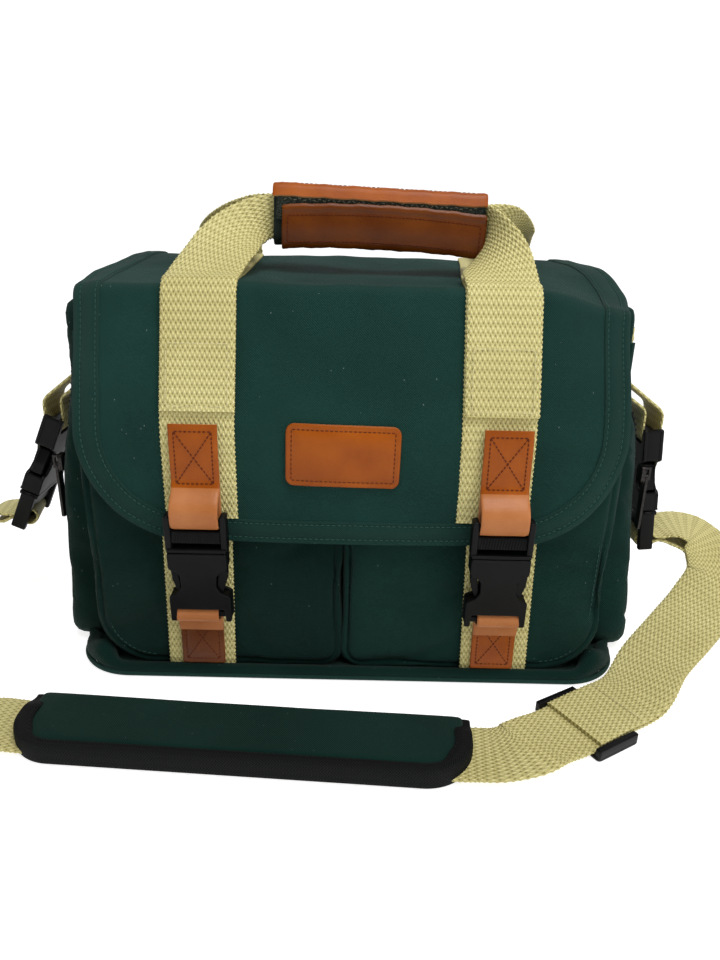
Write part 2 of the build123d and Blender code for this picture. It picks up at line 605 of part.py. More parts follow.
def make_shoulder_strap():
    slider_across = (-SLIDER_TO_PAD[1], SLIDER_TO_PAD[0], 0)
    turn = math.radians(PAD_TURN)
    pad_across = (math.sin(turn), -math.cos(turn), 0)
    double = 2 * WEB_T + 0.2

    bar_x, bar_z = side_end_bar("right")
    right = [
        ((bar_x + 10, SIDE_BAR_Y, bar_z), (0, 1, 0), SIDE_SLOT_W),
        ((210, -4, 62), (0, 1, 0.05), WEB_W),
        ((224, -8, 60), (0.3, 0.93, 0.2), WEB_W),
        ((232, -19, 54), (0.75, 0.6, 0.25), WEB_W),
        ((232, -34, 45), (0.97, 0.1, 0.1), WEB_W),
        ((217, -50, 33), (0.85, -0.5, -0.05), WEB_W),
        ((197, -68, 24), (0.65, -0.75, -0.1), WEB_W),
        ((177, -85, 15), (0.55, -0.83, -0.05), WEB_W),
        ((*along_slider(-36), STRAP_Z + 2.6), slider_across, WEB_W),
        ((*along_slider(-17), STRAP_Z + 1.1), slider_across, WEB_W),
    ]
    ring = buckle_ring(1.0, bar_x, bar_z)
    save("shoulder_strap_double_right", ribbon(right, double) + ring)

    bar_x, bar_z = side_end_bar("left")
    left = [
        ((bar_x - 10, SIDE_BAR_Y, bar_z), (0, 1, 0), SIDE_SLOT_W),
        ((-232, -8, 64), (0, 1, -0.1), WEB_W),
        ((-244, -20, 55), (0, 0.9, -0.4), WEB_W),
        ((-251, -36, 40), (0, 0.4, -0.9), WEB_W),
        ((-253.6, -50, 31.6), (0, 0, -1), WEB_W),
        ((-254, -58, 30), (0, 0, -1), WEB_W),
    ]
    ring = buckle_ring(-1.0, bar_x, bar_z)
    save("shoulder_strap_double_left", ribbon(left, double) + ring)

    half = PAD_LENGTH / 2
    single = [
        ((*along_slider(-17), STRAP_Z), slider_across, WEB_W),
        ((*along_slider(34), STRAP_Z), slider_across, WEB_W),
        ((88.0, -150.6, STRAP_Z), (0.3, -1, 0), WEB_W),
        ((*along_pad(half + 14), STRAP_Z), pad_across, WEB_W),
        ((*along_pad(-half - 14), STRAP_Z), pad_across, WEB_W),
        ((-204, -134, 6), (0.05, -1, 0.12), WEB_W),
        ((-228, -126, 14), (0.2, -0.85, -0.5), WEB_W),
        ((-245, -108, 22), (0.1, -0.3, -0.95), WEB_W),
        ((-254, -84, 26), (0, 0, -1), WEB_W),
        ((-254, -67, 28.2), (0, 0, -1), WEB_W),
        ((-254, -58.8, 29.8), (0, 0, -1), WEB_W),
    ]
    save("shoulder_strap_single", ribbon(single, WEB_T))

    place = Plane(
        origin=(*SLIDER_AT, 0),
        x_dir=(SLIDER_TO_PAD[0], SLIDER_TO_PAD[1], 0),
        z_dir=(0, 0, 1),
    )
    clear = WEB_W / 2 + 0.6
    rail = block((-14.5, 14.5), (clear, clear + 3.2), (0.3, 7.2))
    rails = rail + mirror(rail, about=Plane.XZ)
    span = (-clear - 1, clear + 1)
    middle_bar = block((-2.4, 2.4), span, (0.3, STRAP_Z - WEB_T / 2 - GAP))
    high = (STRAP_Z + WEB_T / 2 + GAP, 7.2)
    slider = rails + middle_bar + block((-14.5, -9.5), span, high) + block((9.5, 14.5), span, high)
    outer = slider.edges().filter_by(Axis.Z).group_by(SortBy.LENGTH)[-1]
    save("strap_slider", place.location * fillet(outer, 1.2))

    place = Plane(
        origin=(*PAD_MIDDLE, 0),
        x_dir=(math.cos(turn), math.sin(turn), 0),
        z_dir=(0, 0, 1),
    )
    outline = RectangleRounded(PAD_LENGTH, PAD_WIDTH, 13.0)
    face_l = PAD_LENGTH - 2 * PAD_END_EDGE
    face_w = PAD_WIDTH - PAD_EDGE
    face = Pos(0, PAD_EDGE / 2) * Rectangle(face_l, face_w)
    face = fillet(face.vertices().group_by(Axis.Y)[0], 11.0)
    tunnel = block(
        (-half - 1, half + 1), (-WEB_W / 2 - 0.6, WEB_W / 2 + 0.6),
        (STRAP_Z - WEB_T / 2 - 0.5, STRAP_Z + WEB_T / 2 + 0.7),
    )
    body = extrude(Pos(0, 0, PAD_LOW) * (outline & face), amount=PAD_THICK)
    edge = extrude(Pos(0, 0, PAD_LOW) * (outline - face), amount=PAD_THICK + 0.6)
    save("shoulder_pad", place.location * (body - tunnel))
    save("shoulder_pad_binding", place.location * (edge - tunnel))


if __name__ == "__main__":
    make_body()
    make_front_pockets()
    make_side_pockets()
    make_buckles()
    make_side_tabs()
    make_flap()
    make_flap_webbing()
    make_handle()
    make_shoulder_strap()
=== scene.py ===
"""Looks of the shoulder camera bag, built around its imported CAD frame.

Shapes are worked out in millimetres and scaled to metres where a mesh is made. +X is to the
right seen from the front, -Y is the front and +Z is up, as in the CAD model.
"""

import json
import math

import bmesh
import bpy
import numpy as np
from mathutils import Matrix, Vector


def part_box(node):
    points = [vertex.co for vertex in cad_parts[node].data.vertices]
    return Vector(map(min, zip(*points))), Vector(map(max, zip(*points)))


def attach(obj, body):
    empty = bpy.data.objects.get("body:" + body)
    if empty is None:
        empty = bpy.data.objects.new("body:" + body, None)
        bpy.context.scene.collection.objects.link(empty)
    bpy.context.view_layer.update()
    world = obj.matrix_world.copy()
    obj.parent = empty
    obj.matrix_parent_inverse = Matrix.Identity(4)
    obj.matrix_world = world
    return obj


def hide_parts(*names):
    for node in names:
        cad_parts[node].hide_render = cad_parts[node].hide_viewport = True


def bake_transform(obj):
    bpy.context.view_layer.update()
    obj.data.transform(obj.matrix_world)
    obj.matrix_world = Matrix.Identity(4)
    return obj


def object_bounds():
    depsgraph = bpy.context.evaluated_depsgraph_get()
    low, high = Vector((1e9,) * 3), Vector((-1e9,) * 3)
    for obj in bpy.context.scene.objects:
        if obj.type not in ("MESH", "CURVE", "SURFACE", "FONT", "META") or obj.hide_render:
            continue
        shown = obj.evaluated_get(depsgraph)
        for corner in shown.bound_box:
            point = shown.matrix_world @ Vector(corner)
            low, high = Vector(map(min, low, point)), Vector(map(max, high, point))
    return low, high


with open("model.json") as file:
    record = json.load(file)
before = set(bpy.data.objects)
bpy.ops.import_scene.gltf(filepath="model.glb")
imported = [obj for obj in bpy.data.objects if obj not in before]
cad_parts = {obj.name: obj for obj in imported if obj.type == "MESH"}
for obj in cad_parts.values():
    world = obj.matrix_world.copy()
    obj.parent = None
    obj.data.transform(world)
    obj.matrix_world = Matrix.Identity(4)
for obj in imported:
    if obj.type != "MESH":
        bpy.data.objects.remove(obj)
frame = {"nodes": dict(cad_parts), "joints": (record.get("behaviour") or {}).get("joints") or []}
CAD_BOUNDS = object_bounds()

MM = 0.001
SIDES = {"left": -1.0, "right": 1.0}


def box(node):
    """Lowest and highest corner of a CAD node, in millimetres."""
    low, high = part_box(node)
    return np.array(low) / MM, np.array(high) / MM


# ------------------------------------------------------------------ camera, floor, light
CAMERA_AT = (0.005, -0.440, 0.255)      # metres, as are the lamps and the backdrop
CAMERA_DOWN = 20.5                      # degrees below the horizon
CAMERA_ROLL = 1.2                       # degrees
CAMERA_LENS = 27.04                     # focal length in millimetres on a 36 mm wide sensor


def make_camera():
    """A camera placed and turned as the photo's was."""
    data = bpy.data.cameras.new("camera")
    data.lens = CAMERA_LENS
    data.sensor_width = 36.0
    data.clip_start = 0.01
    camera = bpy.data.objects.new("camera", data)
    bpy.context.scene.collection.objects.link(camera)
    turn = Matrix.Rotation(math.radians(90 - CAMERA_DOWN), 4, "X")
    roll = Matrix.Rotation(math.radians(CAMERA_ROLL), 4, "Z")
    camera.matrix_world = Matrix.Translation(CAMERA_AT) @ turn @ roll
    bpy.context.scene.camera = camera


def area_light(name, place, target, size, power):
    """A rectangular lamp aimed at a target."""
    data = bpy.data.lights.new(name, "AREA")
    data.shape = "RECTANGLE"
    data.size, data.size_y = size
    data.energy = power
    light = bpy.data.objects.new(name, data)
    light.location = place
    light.rotation_euler = (Vector(target) - Vector(place)).to_track_quat("-Z", "Y").to_euler()
    bpy.context.scene.collection.objects.link(light)


def make_studio():
    """Soft white surroundings, two lamps and a paper backdrop that curves up behind the bag."""
    world = bpy.data.worlds.new("studio")
    world.use_nodes = True
    background = world.node_tree.nodes["Background"]
    background.inputs["Color"].default_value = (0.95, 0.98, 1.0, 1.0)
    background.inputs["Strength"].default_value = 0.235
    bpy.context.scene.world = world
    bpy.context.scene.view_settings.view_transform = "Standard"
    area_light("light_above", (0.22, -0.42, 1.3), (0, 0.0, 0.15), (0.8, 0.6), 13.5)
    area_light("light_right", (1.1, -1.0, 0.8), (0, 0, 0.1), (0.7, 0.7), 5.5)

    floor_z = min(CAD_BOUNDS[0].z, 0.0) - 0.0002
    bend_y, bend = 2.0, 1.0
    profile = [(-4.0, 0.0), (bend_y, 0.0)]
    for angle in np.radians(np.arange(1, 13) * 7.5):
        profile.append((bend_y + bend * math.sin(angle), bend * (1.0 - math.cos(angle))))
    profile.append((bend_y + bend, 4.0))
    points = [(x, y, z + floor_z) for y, z in profile for x in (-5.0, 5.0)]
    faces = [(2 * row, 2 * row + 1, 2 * row + 3, 2 * row + 2) for row in range(len(profile) - 1)]
    mesh = bpy.data.meshes.new("backdrop")
    mesh.from_pydata(points, [], faces)
    mesh.polygons.foreach_set("use_smooth", np.ones(len(faces), bool))
    backdrop = bpy.data.objects.new("backdrop", mesh)
    bpy.context.scene.collection.objects.link(backdrop)
    paper = Finish("white_paper", roughness=0.9, Emission_Strength=0.8)
    paper.put(paper.shader.inputs["Emission Color"], (1.0, 1.0, 1.0))
    paper.put(paper.shader.inputs["Specular IOR Level"], 0.1)
    speck = paper.noise(paper.place(), 3.0)
    paper.colour(paper.ramp(speck, [(0.3, (0.54, 0.54, 0.54)), (0.7, (0.57, 0.57, 0.57))]))
    mesh.materials.append(paper.material)


# ------------------------------------------------------------------ materials
def srgb(red, green, blue):
    """Linear colour of a display colour given from 0 to 255."""
    values = []
    for value in (red, green, blue):
        share = value / 255
        values.append(share / 12.92 if share <= 0.04045 else ((share + 0.055) / 1.055) ** 2.4)
    return tuple(values)


class Finish:
    """A material, with short calls that add the nodes it is made of."""

    def __init__(self, name, roughness=0.6, **sockets):
        self.material = bpy.data.materials.new(name)
        self.material.use_nodes = True
        self.tree = self.material.node_tree
        self.shader = self.tree.nodes["Principled BSDF"]
        self.shader.inputs["Roughness"].default_value = roughness
        for socket, value in sockets.items():
            self.shader.inputs[socket.replace("_", " ")].default_value = value

    def node(self, kind, **settings):
        made = self.tree.nodes.new("ShaderNode" + kind)
        for key, value in settings.items():
            setattr(made, key, value)
        return made

    def put(self, socket, value):
        """Link a node's output to a socket, or set the socket to a plain value or colour."""
        if isinstance(value, bpy.types.NodeSocket):
            self.tree.links.new(value, socket)
        elif isinstance(value, tuple) and len(value) == 3 and socket.type == "RGBA":
            socket.default_value = (*value, 1.0)
        else:
            socket.default_value = value

    def place(self):
        """Metres in the piece's own axes."""
        return self.node("TexCoord").outputs["Object"]

    def cloth(self):
        """Metres across and along the fabric."""
        return self.node("UVMap", uv_map="cloth").outputs["UV"]

    def parts(self, vector):
        made = self.node("SeparateXYZ")
        self.put(made.inputs[0], vector)
        return made.outputs["X"], made.outputs["Y"], made.outputs["Z"]

    def maths(self, operation, first, second=0.0, third=0.5):
        made = self.node("Math", operation=operation)
        for socket, value in zip(made.inputs, (first, second, third)):
            self.put(socket, value)
        return made.outputs[0]

    def wave(self, kind, travel, period):
        """A sine or cosine along travel, repeating every period metres."""
        return self.maths(kind, self.maths("MULTIPLY", travel, 2 * math.pi / period))

    def noise(self, vector, scale, detail=3.0, roughness=0.55):
        made = self.node("TexNoise")
        self.put(made.inputs["Vector"], vector)
        made.inputs["Scale"].default_value = scale
        made.inputs["Detail"].default_value = detail
        made.inputs["Roughness"].default_value = roughness
        return made.outputs["Fac"]

    def cells(self, vector, scale, feature="F1", randomness=1.0):
        made = self.node("TexVoronoi", feature=feature)
        self.put(made.inputs["Vector"], vector)
        made.inputs["Scale"].default_value = scale
        made.inputs["Randomness"].default_value = randomness
        return made

    def stretch(self, vector, scale):
        """The same vector, scaled along each axis."""
        made = self.node("Mapping")
        self.put(made.inputs["Vector"], vector)
        made.inputs["Scale"].default_value = scale
        return made.outputs[0]

    def ramp(self, share, stops):
        """Colours between (place, colour or grey) stops."""
        made = self.node("ValToRGB")
        self.put(made.inputs[0], share)
        elements = made.color_ramp.elements
        while len(elements) < len(stops):
            elements.new(0.5)
        for element, (place, colour) in zip(elements, stops):
            element.position = place
            element.color = (*colour, 1.0) if isinstance(colour, tuple) else (colour,) * 3 + (1.0,)
        return made.outputs["Color"]

    def mix(self, share, first, second, blend="MIX"):
        made = self.node("Mix", data_type="RGBA", blend_type=blend)
        self.put(made.inputs[0], share)
        self.put(made.inputs[6], first)
        self.put(made.inputs[7], second)
        return made.outputs[2]

    def colour(self, value):
        self.put(self.shader.inputs["Base Color"], value)

    def rough(self, share, low, high):
        """Roughness that runs from low to high with a share."""
        made = self.node("MapRange")
        self.put(made.inputs["Value"], share)
        made.inputs["To Min"].default_value = low
        made.inputs["To Max"].default_value = high
        self.put(self.shader.inputs["Roughness"], made.outputs[0])

    def bump(self, height, distance, strength=1.0, under=None):
        made = self.node("Bump")
        made.inputs["Strength"].default_value = strength
        made.inputs["Distance"].default_value = distance
        self.put(made.inputs["Height"], height)
        if under is not None:
            self.put(made.inputs["Normal"], under)
        self.put(self.shader.inputs["Normal"], made.outputs[0])
        return made.outputs[0]


RIB_PITCH = 0.00125         # metres from rib to rib of the twill
WEFT_PITCH = 0.0011


def canvas(name, base, faded, lint=0.22):
    """Cotton twill: diagonal ribs, slow changes of colour and a few specks of lint."""
    cloth = Finish(name, roughness=0.85, Specular_IOR_Level=0.1, Sheen_Weight=0.04)
    place = cloth.place()
    across, along, _ = cloth.parts(cloth.cloth())
    slow = cloth.noise(place, 14.0, detail=4.0)
    colour = cloth.ramp(slow, [(0.32, base), (0.72, faded)])

    fine = cloth.noise(place, 1900.0, detail=2.0)
    rib = cloth.wave("SINE", cloth.maths("ADD", across, along), RIB_PITCH)
    weft = cloth.wave("SINE", cloth.maths("SUBTRACT", along, across), WEFT_PITCH)
    weave = cloth.maths("ADD", rib, cloth.maths("MULTIPLY", weft, 0.35))
    grain = cloth.maths("ADD", weave, cloth.maths("MULTIPLY", fine, 1.6))
    shade = cloth.ramp(cloth.maths("MULTIPLY_ADD", grain, 0.25, 0.5), [(0.05, 0.5), (0.9, 1.0)])
    colour = cloth.mix(0.75, colour, shade, "MULTIPLY")

    specks = cloth.cells(cloth.stretch(place, (1.0, 1.0, 0.55)), 300.0)
    chosen = cloth.maths("GREATER_THAN", specks.outputs["Color"], 0.72)
    spot = cloth.maths("LESS_THAN", specks.outputs["Distance"], 0.075)
    lint_share = cloth.maths("MULTIPLY", cloth.maths("MULTIPLY", chosen, spot), lint)
    colour = cloth.mix(lint_share, colour, (0.62, 0.72, 0.66))
    cloth.colour(colour)
    cloth.bump(grain, 0.00022, 0.7)
    return cloth.material


WEAVE_ACROSS = 0.00245      # metres from bead to bead across the webbing
WEAVE_ALONG = 0.0023


def basket_webbing(name, bead_highlight, base, gap):
    """Heavy webbing: staggered rows of beads with dark gaps between them; the gaps' dark is painted shade in
    the hollows and the bead tops' light a painted highlight.
    """
    web = Finish(name, roughness=0.6, Specular_IOR_Level=0.22)
    across, along, _ = web.parts(web.cloth())
    column = web.wave("COSINE", across, WEAVE_ACROSS)
    phase = web.maths("MULTIPLY", along, math.pi / WEAVE_ALONG)
    lean = web.maths("MULTIPLY", column, 0.55)
    row = web.maths("COSINE", web.maths("ADD", phase, lean))
    lattice = web.maths("MULTIPLY", column, row)
    share = web.maths("MULTIPLY_ADD", lattice, 0.5, 0.5)
    # Lighter bead tops are a painted highlight, darker gaps painted shade in the hollows between beads.
    colour = web.ramp(share, [(0.0, bead_highlight), (0.36, base), (0.78, base), (0.98, gap)])
    dirt = web.ramp(web.noise(web.place(), 22.0), [(0.3, (0.88, 0.86, 0.80)), (0.65, (1.0, 1.0, 1.0))])
    colour = web.mix(1.0, colour, dirt, "MULTIPLY")
    web.colour(colour)
    twist = web.noise(web.stretch(web.cloth(), (1.0, 0.35, 1.0)), 2600.0, detail=1.0)
    height = web.maths("SUBTRACT", web.maths("MULTIPLY", twist, 0.5), share)
    web.bump(height, 0.0008, 0.9)
    return web.material


def leather(name, base, worn, roughness=0.42):
    """Smooth tan leather with fine grain."""
    hide = Finish(name, roughness=roughness, Specular_IOR_Level=0.2)
    place = hide.place()
    slow = hide.noise(place, 45.0, detail=5.0)
    colour = hide.ramp(slow, [(0.3, base), (0.75, worn)])
    pores = hide.cells(place, 1500.0)
    grain = hide.maths("ADD", pores.outputs["Distance"], hide.noise(place, 700.0))
    pore_shade = hide.ramp(pores.outputs["Distance"], [(0.0, 0.82), (0.5, 1.0)])
    colour = hide.mix(0.5, colour, pore_shade, "MULTIPLY")
    hide.colour(colour)
    hide.rough(slow, roughness - 0.08, roughness + 0.12)
    hide.bump(grain, 0.00012, 0.5)
    return hide.material


def plastic(name, base, roughness=0.42):
    """Moulded nylon with a fine spark-eroded texture."""
    shell = Finish(name, roughness=roughness, Specular_IOR_Level=0.14)
    place = shell.place()
    fine = shell.noise(place, 2600.0, detail=2.0)
    slow = shell.noise(place, 60.0)
    lighter = tuple(value * 1.5 + 0.002 for value in base)
    shell.colour(shell.ramp(slow, [(0.35, base), (0.75, lighter)]))
    shell.rough(slow, roughness - 0.06, roughness + 0.1)
    shell.bump(fine, 0.00004, 0.6)
    return shell.material


def herringbone(name, base, light):
    """Black binding tape woven in short chevrons."""
    tape = Finish(name, roughness=0.8, Specular_IOR_Level=0.1)
    across, along, _ = tape.parts(tape.cloth())
    fold = tape.maths("PINGPONG", across, 0.0024)
    slant = tape.wave("SINE", tape.maths("ADD", fold, along), 0.0015)
    rib = tape.maths("MULTIPLY_ADD", slant, 0.5, 0.5)
    tape.colour(tape.ramp(rib, [(0.2, base), (0.95, light)]))
    tape.bump(rib, 0.0004, 0.8)
    return tape.material


def plain_cloth(name, base, light, pitch=0.0009):
    """Thin plain weave, used for the lining, zip tape and hidden fabric."""
    cloth = Finish(name, roughness=0.8, Specular_IOR_Level=0.12)
    x, y, z = cloth.parts(cloth.place())
    warp = cloth.wave("SINE", cloth.maths("ADD", x, y), pitch)
    weft = cloth.wave("SINE", z, pitch)
    weave = cloth.maths("MULTIPLY_ADD", cloth.maths("MULTIPLY", warp, weft), 0.5, 0.5)
    slow = cloth.noise(cloth.place(), 25.0)
    colour = cloth.ramp(slow, [(0.3, base), (0.75, light)])
    cloth.colour(cloth.mix(0.5, colour, cloth.ramp(weave, [(0.0, 0.7), (1.0, 1.0)]), "MULTIPLY"))
    cloth.bump(weave, 0.0002, 0.6)
    return cloth.material


def thread(name, base, light):
    """Twisted sewing thread."""
    strand = Finish(name, roughness=0.6, Specular_IOR_Level=0.15)
    x, y, z = strand.parts(strand.place())
    slant = strand.maths("ADD", strand.maths("ADD", x, y), z)
    twist = strand.maths("SINE", strand.maths("MULTIPLY", slant, 9000.0))
    share = strand.maths("MULTIPLY_ADD", twist, 0.5, 0.5)
    strand.colour(strand.ramp(share, [(0.1, base), (0.9, light)]))
    strand.bump(share, 0.0001, 0.5)
    return strand.material


def metal(name, base):
    """Painted zip metal, rubbed in places."""
    steel = Finish(name, roughness=0.35, Metallic=1.0)
    rub = steel.noise(steel.place(), 900.0)
    steel.colour(steel.ramp(rub, [(0.4, base), (0.75, tuple(value * 2.2 for value in base))]))
    steel.rough(rub, 0.25, 0.5)
    return steel.material


def hook_tape(name, base, light):
    """Napped hook-and-loop tape."""
    tape = Finish(name, roughness=0.95, Specular_IOR_Level=0.1)
    pile = tape.cells(tape.place(), 1100.0)
    tape.colour(tape.ramp(pile.outputs["Distance"], [(0.1, light), (0.6, base)]))
    tape.bump(pile.outputs["Distance"], 0.0006, 0.9)
    return tape.material


MATERIALS = {}


def make_materials():
    """Every material, by the short name that the pieces use."""
    MATERIALS.update(
        canvas=canvas("green_twill", srgb(17, 50, 44), srgb(25, 62, 55)),
        # The next two are darker copies of the twill: painted shade on the pockets and the base, the left one
        # darkest as the lamps stand to the right.
        canvas_left=canvas("green_twill_painted_shade_left", srgb(2, 33, 27), srgb(10, 43, 36), lint=0.14),
        canvas_right=canvas("green_twill_painted_shade_right", srgb(9, 42, 36), srgb(17, 52, 45), lint=0.14),
        pad_canvas=canvas("green_twill_pad", srgb(7, 38, 31), srgb(14, 48, 40), lint=0.1),
        binding=canvas("green_binding_cloth", srgb(20, 50, 44), srgb(28, 60, 53), lint=0.1),
        webbing=basket_webbing("cream_webbing", srgb(236, 227, 168), srgb(200, 190, 128), srgb(126, 116, 60)),
        leather=leather("tan_leather", srgb(136, 62, 0), srgb(162, 82, 6), 0.38),
        # A lighter copy of the tan leather: painted highlight where the tabs round the buckle bars under the
        # lamp above.
        leather_loop=leather("tan_leather_painted_highlight", srgb(164, 98, 50), srgb(184, 118, 70), 0.34),
        leather_edge=leather("tan_leather_edge", srgb(176, 116, 66), srgb(196, 140, 92), 0.7),
        # Darker brown leather, for the grip's front panel and, as painted shade, the left lower tab.
        leather_dark=leather("brown_leather", srgb(86, 38, 0), srgb(110, 54, 2), 0.3),
        plastic=plastic("black_nylon", srgb(5, 5, 6)),
        tape=herringbone("black_herringbone", srgb(7, 8, 8), srgb(30, 32, 31)),
        lining=plain_cloth("grey_lining_cloth", srgb(84, 86, 88), srgb(104, 106, 108)),
        dark_cloth=plain_cloth("dark_cloth", srgb(26, 34, 31), srgb(40, 48, 44)),
        board=plain_cloth("board", srgb(52, 50, 46), srgb(66, 63, 58), 0.002),
        zip_tape=plain_cloth("zip_tape", srgb(10, 11, 11), srgb(20, 21, 21)),
        zip_teeth=plastic("zip_teeth", srgb(16, 16, 17), 0.3),
        metal=metal("dark_zip_metal", srgb(44, 42, 41)),
        hook=hook_tape("hook_tape", srgb(40, 46, 41), srgb(78, 82, 72)),
        brown_thread=thread("brown_thread", srgb(76, 28, 8), srgb(106, 46, 18)),
        green_thread=thread("green_thread", srgb(34, 68, 60), srgb(50, 86, 76)),
        dull_thread=thread("dull_thread", srgb(104, 102, 84), srgb(138, 136, 112)),
        cream_thread=thread("cream_thread", srgb(190, 180, 130), srgb(222, 214, 168)),
        black_thread=thread("black_thread", srgb(10, 10, 10), srgb(30, 30, 30)),
    )


# ------------------------------------------------------------------ mesh building
def make_mesh(name, points, faces, materials, uv=None, slots=None, sharp=38.0):
    """A mesh object from points in millimetres; uv gives each point's place on the fabric."""
    mesh = bpy.data.meshes.new(name)
    mesh.from_pydata((np.asarray(points, float) * MM).tolist(), [], [list(map(int, f)) for f in faces])
    for material in materials:
        mesh.materials.append(MATERIALS[material])
    if uv is not None:
        layer = mesh.uv_layers.new(name="cloth")
        corners = np.zeros(len(mesh.loops), int)
        mesh.loops.foreach_get("vertex_index", corners)
        values = (np.asarray(uv, float)[corners] * MM).astype(np.float32)
        layer.data.foreach_set("uv", values.ravel())
    if slots is not None:
        mesh.polygons.foreach_set("material_index", np.asarray(slots, np.int32))
    mesh.polygons.foreach_set("use_smooth", np.ones(len(mesh.polygons), bool))
    mesh.set_sharp_from_angle(angle=math.radians(sharp))
    mesh.update()
    made = bpy.data.objects.new(name, mesh)
    bpy.context.scene.collection.objects.link(made)
    return made


def grid_faces(rows, columns, start=0, flip=False):
    """Quads of a grid of points stored row by row."""
    base = np.arange(rows * columns).reshape(rows, columns) + start
    quads = np.stack([base[:-1, :-1], base[:-1, 1:], base[1:, 1:], base[1:, :-1]], -1)
    quads = quads.reshape(-1, 4)
    return quads[:, ::-1] if flip else quads


def closed_sheet(name, outer, inner, materials, uv, rim_slot=0):
    """A sheet with thickness: two grids of points, joined round their rim."""
    rows, columns = outer.shape[:2]
    count = rows * columns
    base = np.arange(count).reshape(rows, columns)
    ring = np.concatenate([base[0, :-1], base[:-1, -1], base[-1, :0:-1], base[:0:-1, 0]])
    ahead = np.roll(ring, -1)
    rim = np.stack([ahead, ring, ring + count, ahead + count], -1)
    front = grid_faces(rows, columns)
    back = grid_faces(rows, columns, count, flip=True)
    faces = np.concatenate([front, back, rim])
    slots = np.concatenate([np.zeros(len(front) + len(back), int), np.full(len(rim), rim_slot)])
    points = np.concatenate([outer.reshape(-1, 3), inner.reshape(-1, 3)])
    uv = np.concatenate([uv.reshape(-1, 2)] * 2)
    return make_mesh(name, points, faces, materials, uv, slots)


def swept_loop(name, rings, material, uv):
    """A solid swept through closed rings of points, with flat ends."""
    count, around = rings.shape[:2]
    base = np.arange(count * around).reshape(count, around)
    low, high = base[:-1], base[1:]
    quads = np.stack([low, np.roll(low, -1, 1), np.roll(high, -1, 1), high], -1).reshape(-1, 4)
    faces = [tuple(quad) for quad in quads]
    faces.append(tuple(base[0, ::-1]))
    faces.append(tuple(base[-1]))
    return make_mesh(name, rings.reshape(-1, 3), faces, [material], uv.reshape(-1, 2))


def fabric(across, along):
    """Places on the fabric, from two arrays that fit together."""
    return np.stack(np.broadcast_arrays(across, along), -1)


def mesh_points(made):
    """The points of a mesh, in millimetres."""
    points = np.zeros(len(made.data.vertices) * 3, np.float32)
    made.data.vertices.foreach_get("co", points)
    return points.reshape(-1, 3) / MM


def move_points(made, points):
    """Put the points of a mesh in new places, given in millimetres."""
    made.data.vertices.foreach_set("co", (points * MM).astype(np.float32).ravel())
    made.data.update()


def smooth_step(low, high, value):
    """From 0 at low to 1 at high, easing in and out; low may be the greater."""
    share = np.clip((value - low) / (high - low), 0, 1)
    return share * share * (3 - 2 * share)


def ripple(first, second, seed, length, height):
    """Gentle unevenness: a few waves of about one length in random directions."""
    random = np.random.default_rng(seed)
    total = np.zeros(np.broadcast(first, second).shape)
    waves = 7
    for _ in range(waves):
        heading = random.uniform(0, 2 * math.pi)
        wave = length * random.uniform(0.7, 1.6)
        phase = random.uniform(0, 2 * math.pi)
        total += np.sin((first * math.cos(heading) + second * math.sin(heading)) * 2 * math.pi / wave + phase)
    return total * height / math.sqrt(waves)


def rounded_path(corners, radii, step):
    """A flat path through corners given as pairs, each inner corner turned with its radius."""
    points = [np.array(corners[0], float)]
    for index, radius in enumerate(radii, start=1):
        before, corner, after = (np.array(corners[index + shift], float) for shift in (-1, 0, 1))
        inward = (before - corner) / np.linalg.norm(before - corner)
        outward = (after - corner) / np.linalg.norm(after - corner)
        half = math.acos(np.clip(inward @ outward, -1, 1)) / 2
        if math.pi / 2 - half < 1e-3:
            continue
        reach = radius / math.tan(half)
        middle_way = inward + outward
        centre = corner + middle_way / np.linalg.norm(middle_way) * radius / math.sin(half)
        first = corner + inward * reach
        last = corner + outward * reach
        turns = max(3, int(radius * (math.pi - 2 * half) / step) + 1)
        low = math.atan2(*(first - centre)[::-1])
        sweep = math.atan2(*(last - centre)[::-1]) - low
        sweep = (sweep + math.pi) % (2 * math.pi) - math.pi
        for turn in np.linspace(low, low + sweep, turns + 1):
            points.append(centre + radius * np.array([math.cos(turn), math.sin(turn)]))
    points.append(np.array(corners[-1], float))
    return resample(np.array(points), step)


def travel_along(points):
    """Distance of each point of a polyline from its start."""
    return np.concatenate([[0], np.cumsum(np.linalg.norm(np.diff(points, axis=0), axis=1))])


def points_at(at, travel, points):
    """Points of a polyline at given distances from its start."""
    return np.stack([np.interp(at, travel, points[:, axis]) for axis in range(points.shape[1])], -1)


def even(points, count):
    """The same polyline with a set number of evenly spaced points."""
    travel = travel_along(points)
    return points_at(np.linspace(0, travel[-1], count), travel, points)


def resample(points, step):
    """Points a step apart along a polyline, whose doubled points are dropped."""
    gaps = np.linalg.norm(np.diff(points, axis=0), axis=1)
    points = points[np.concatenate([[True], gaps > 1e-9])]
    return even(points, max(2, int(round(travel_along(points)[-1] / step)) + 1))


def soften(points, reach):
    """A polyline with its sharp bends eased by averaging neighbours, ends kept."""
    padded = np.concatenate([np.repeat(points[:1], reach, 0), points, np.repeat(points[-1:], reach, 0)])
    weights = np.ones(2 * reach + 1) / (2 * reach + 1)
    eased = np.stack([np.convolve(padded[:, axis], weights, "valid") for axis in range(points.shape[1])], -1)
    eased[0], eased[-1] = points[0], points[-1]
    return eased


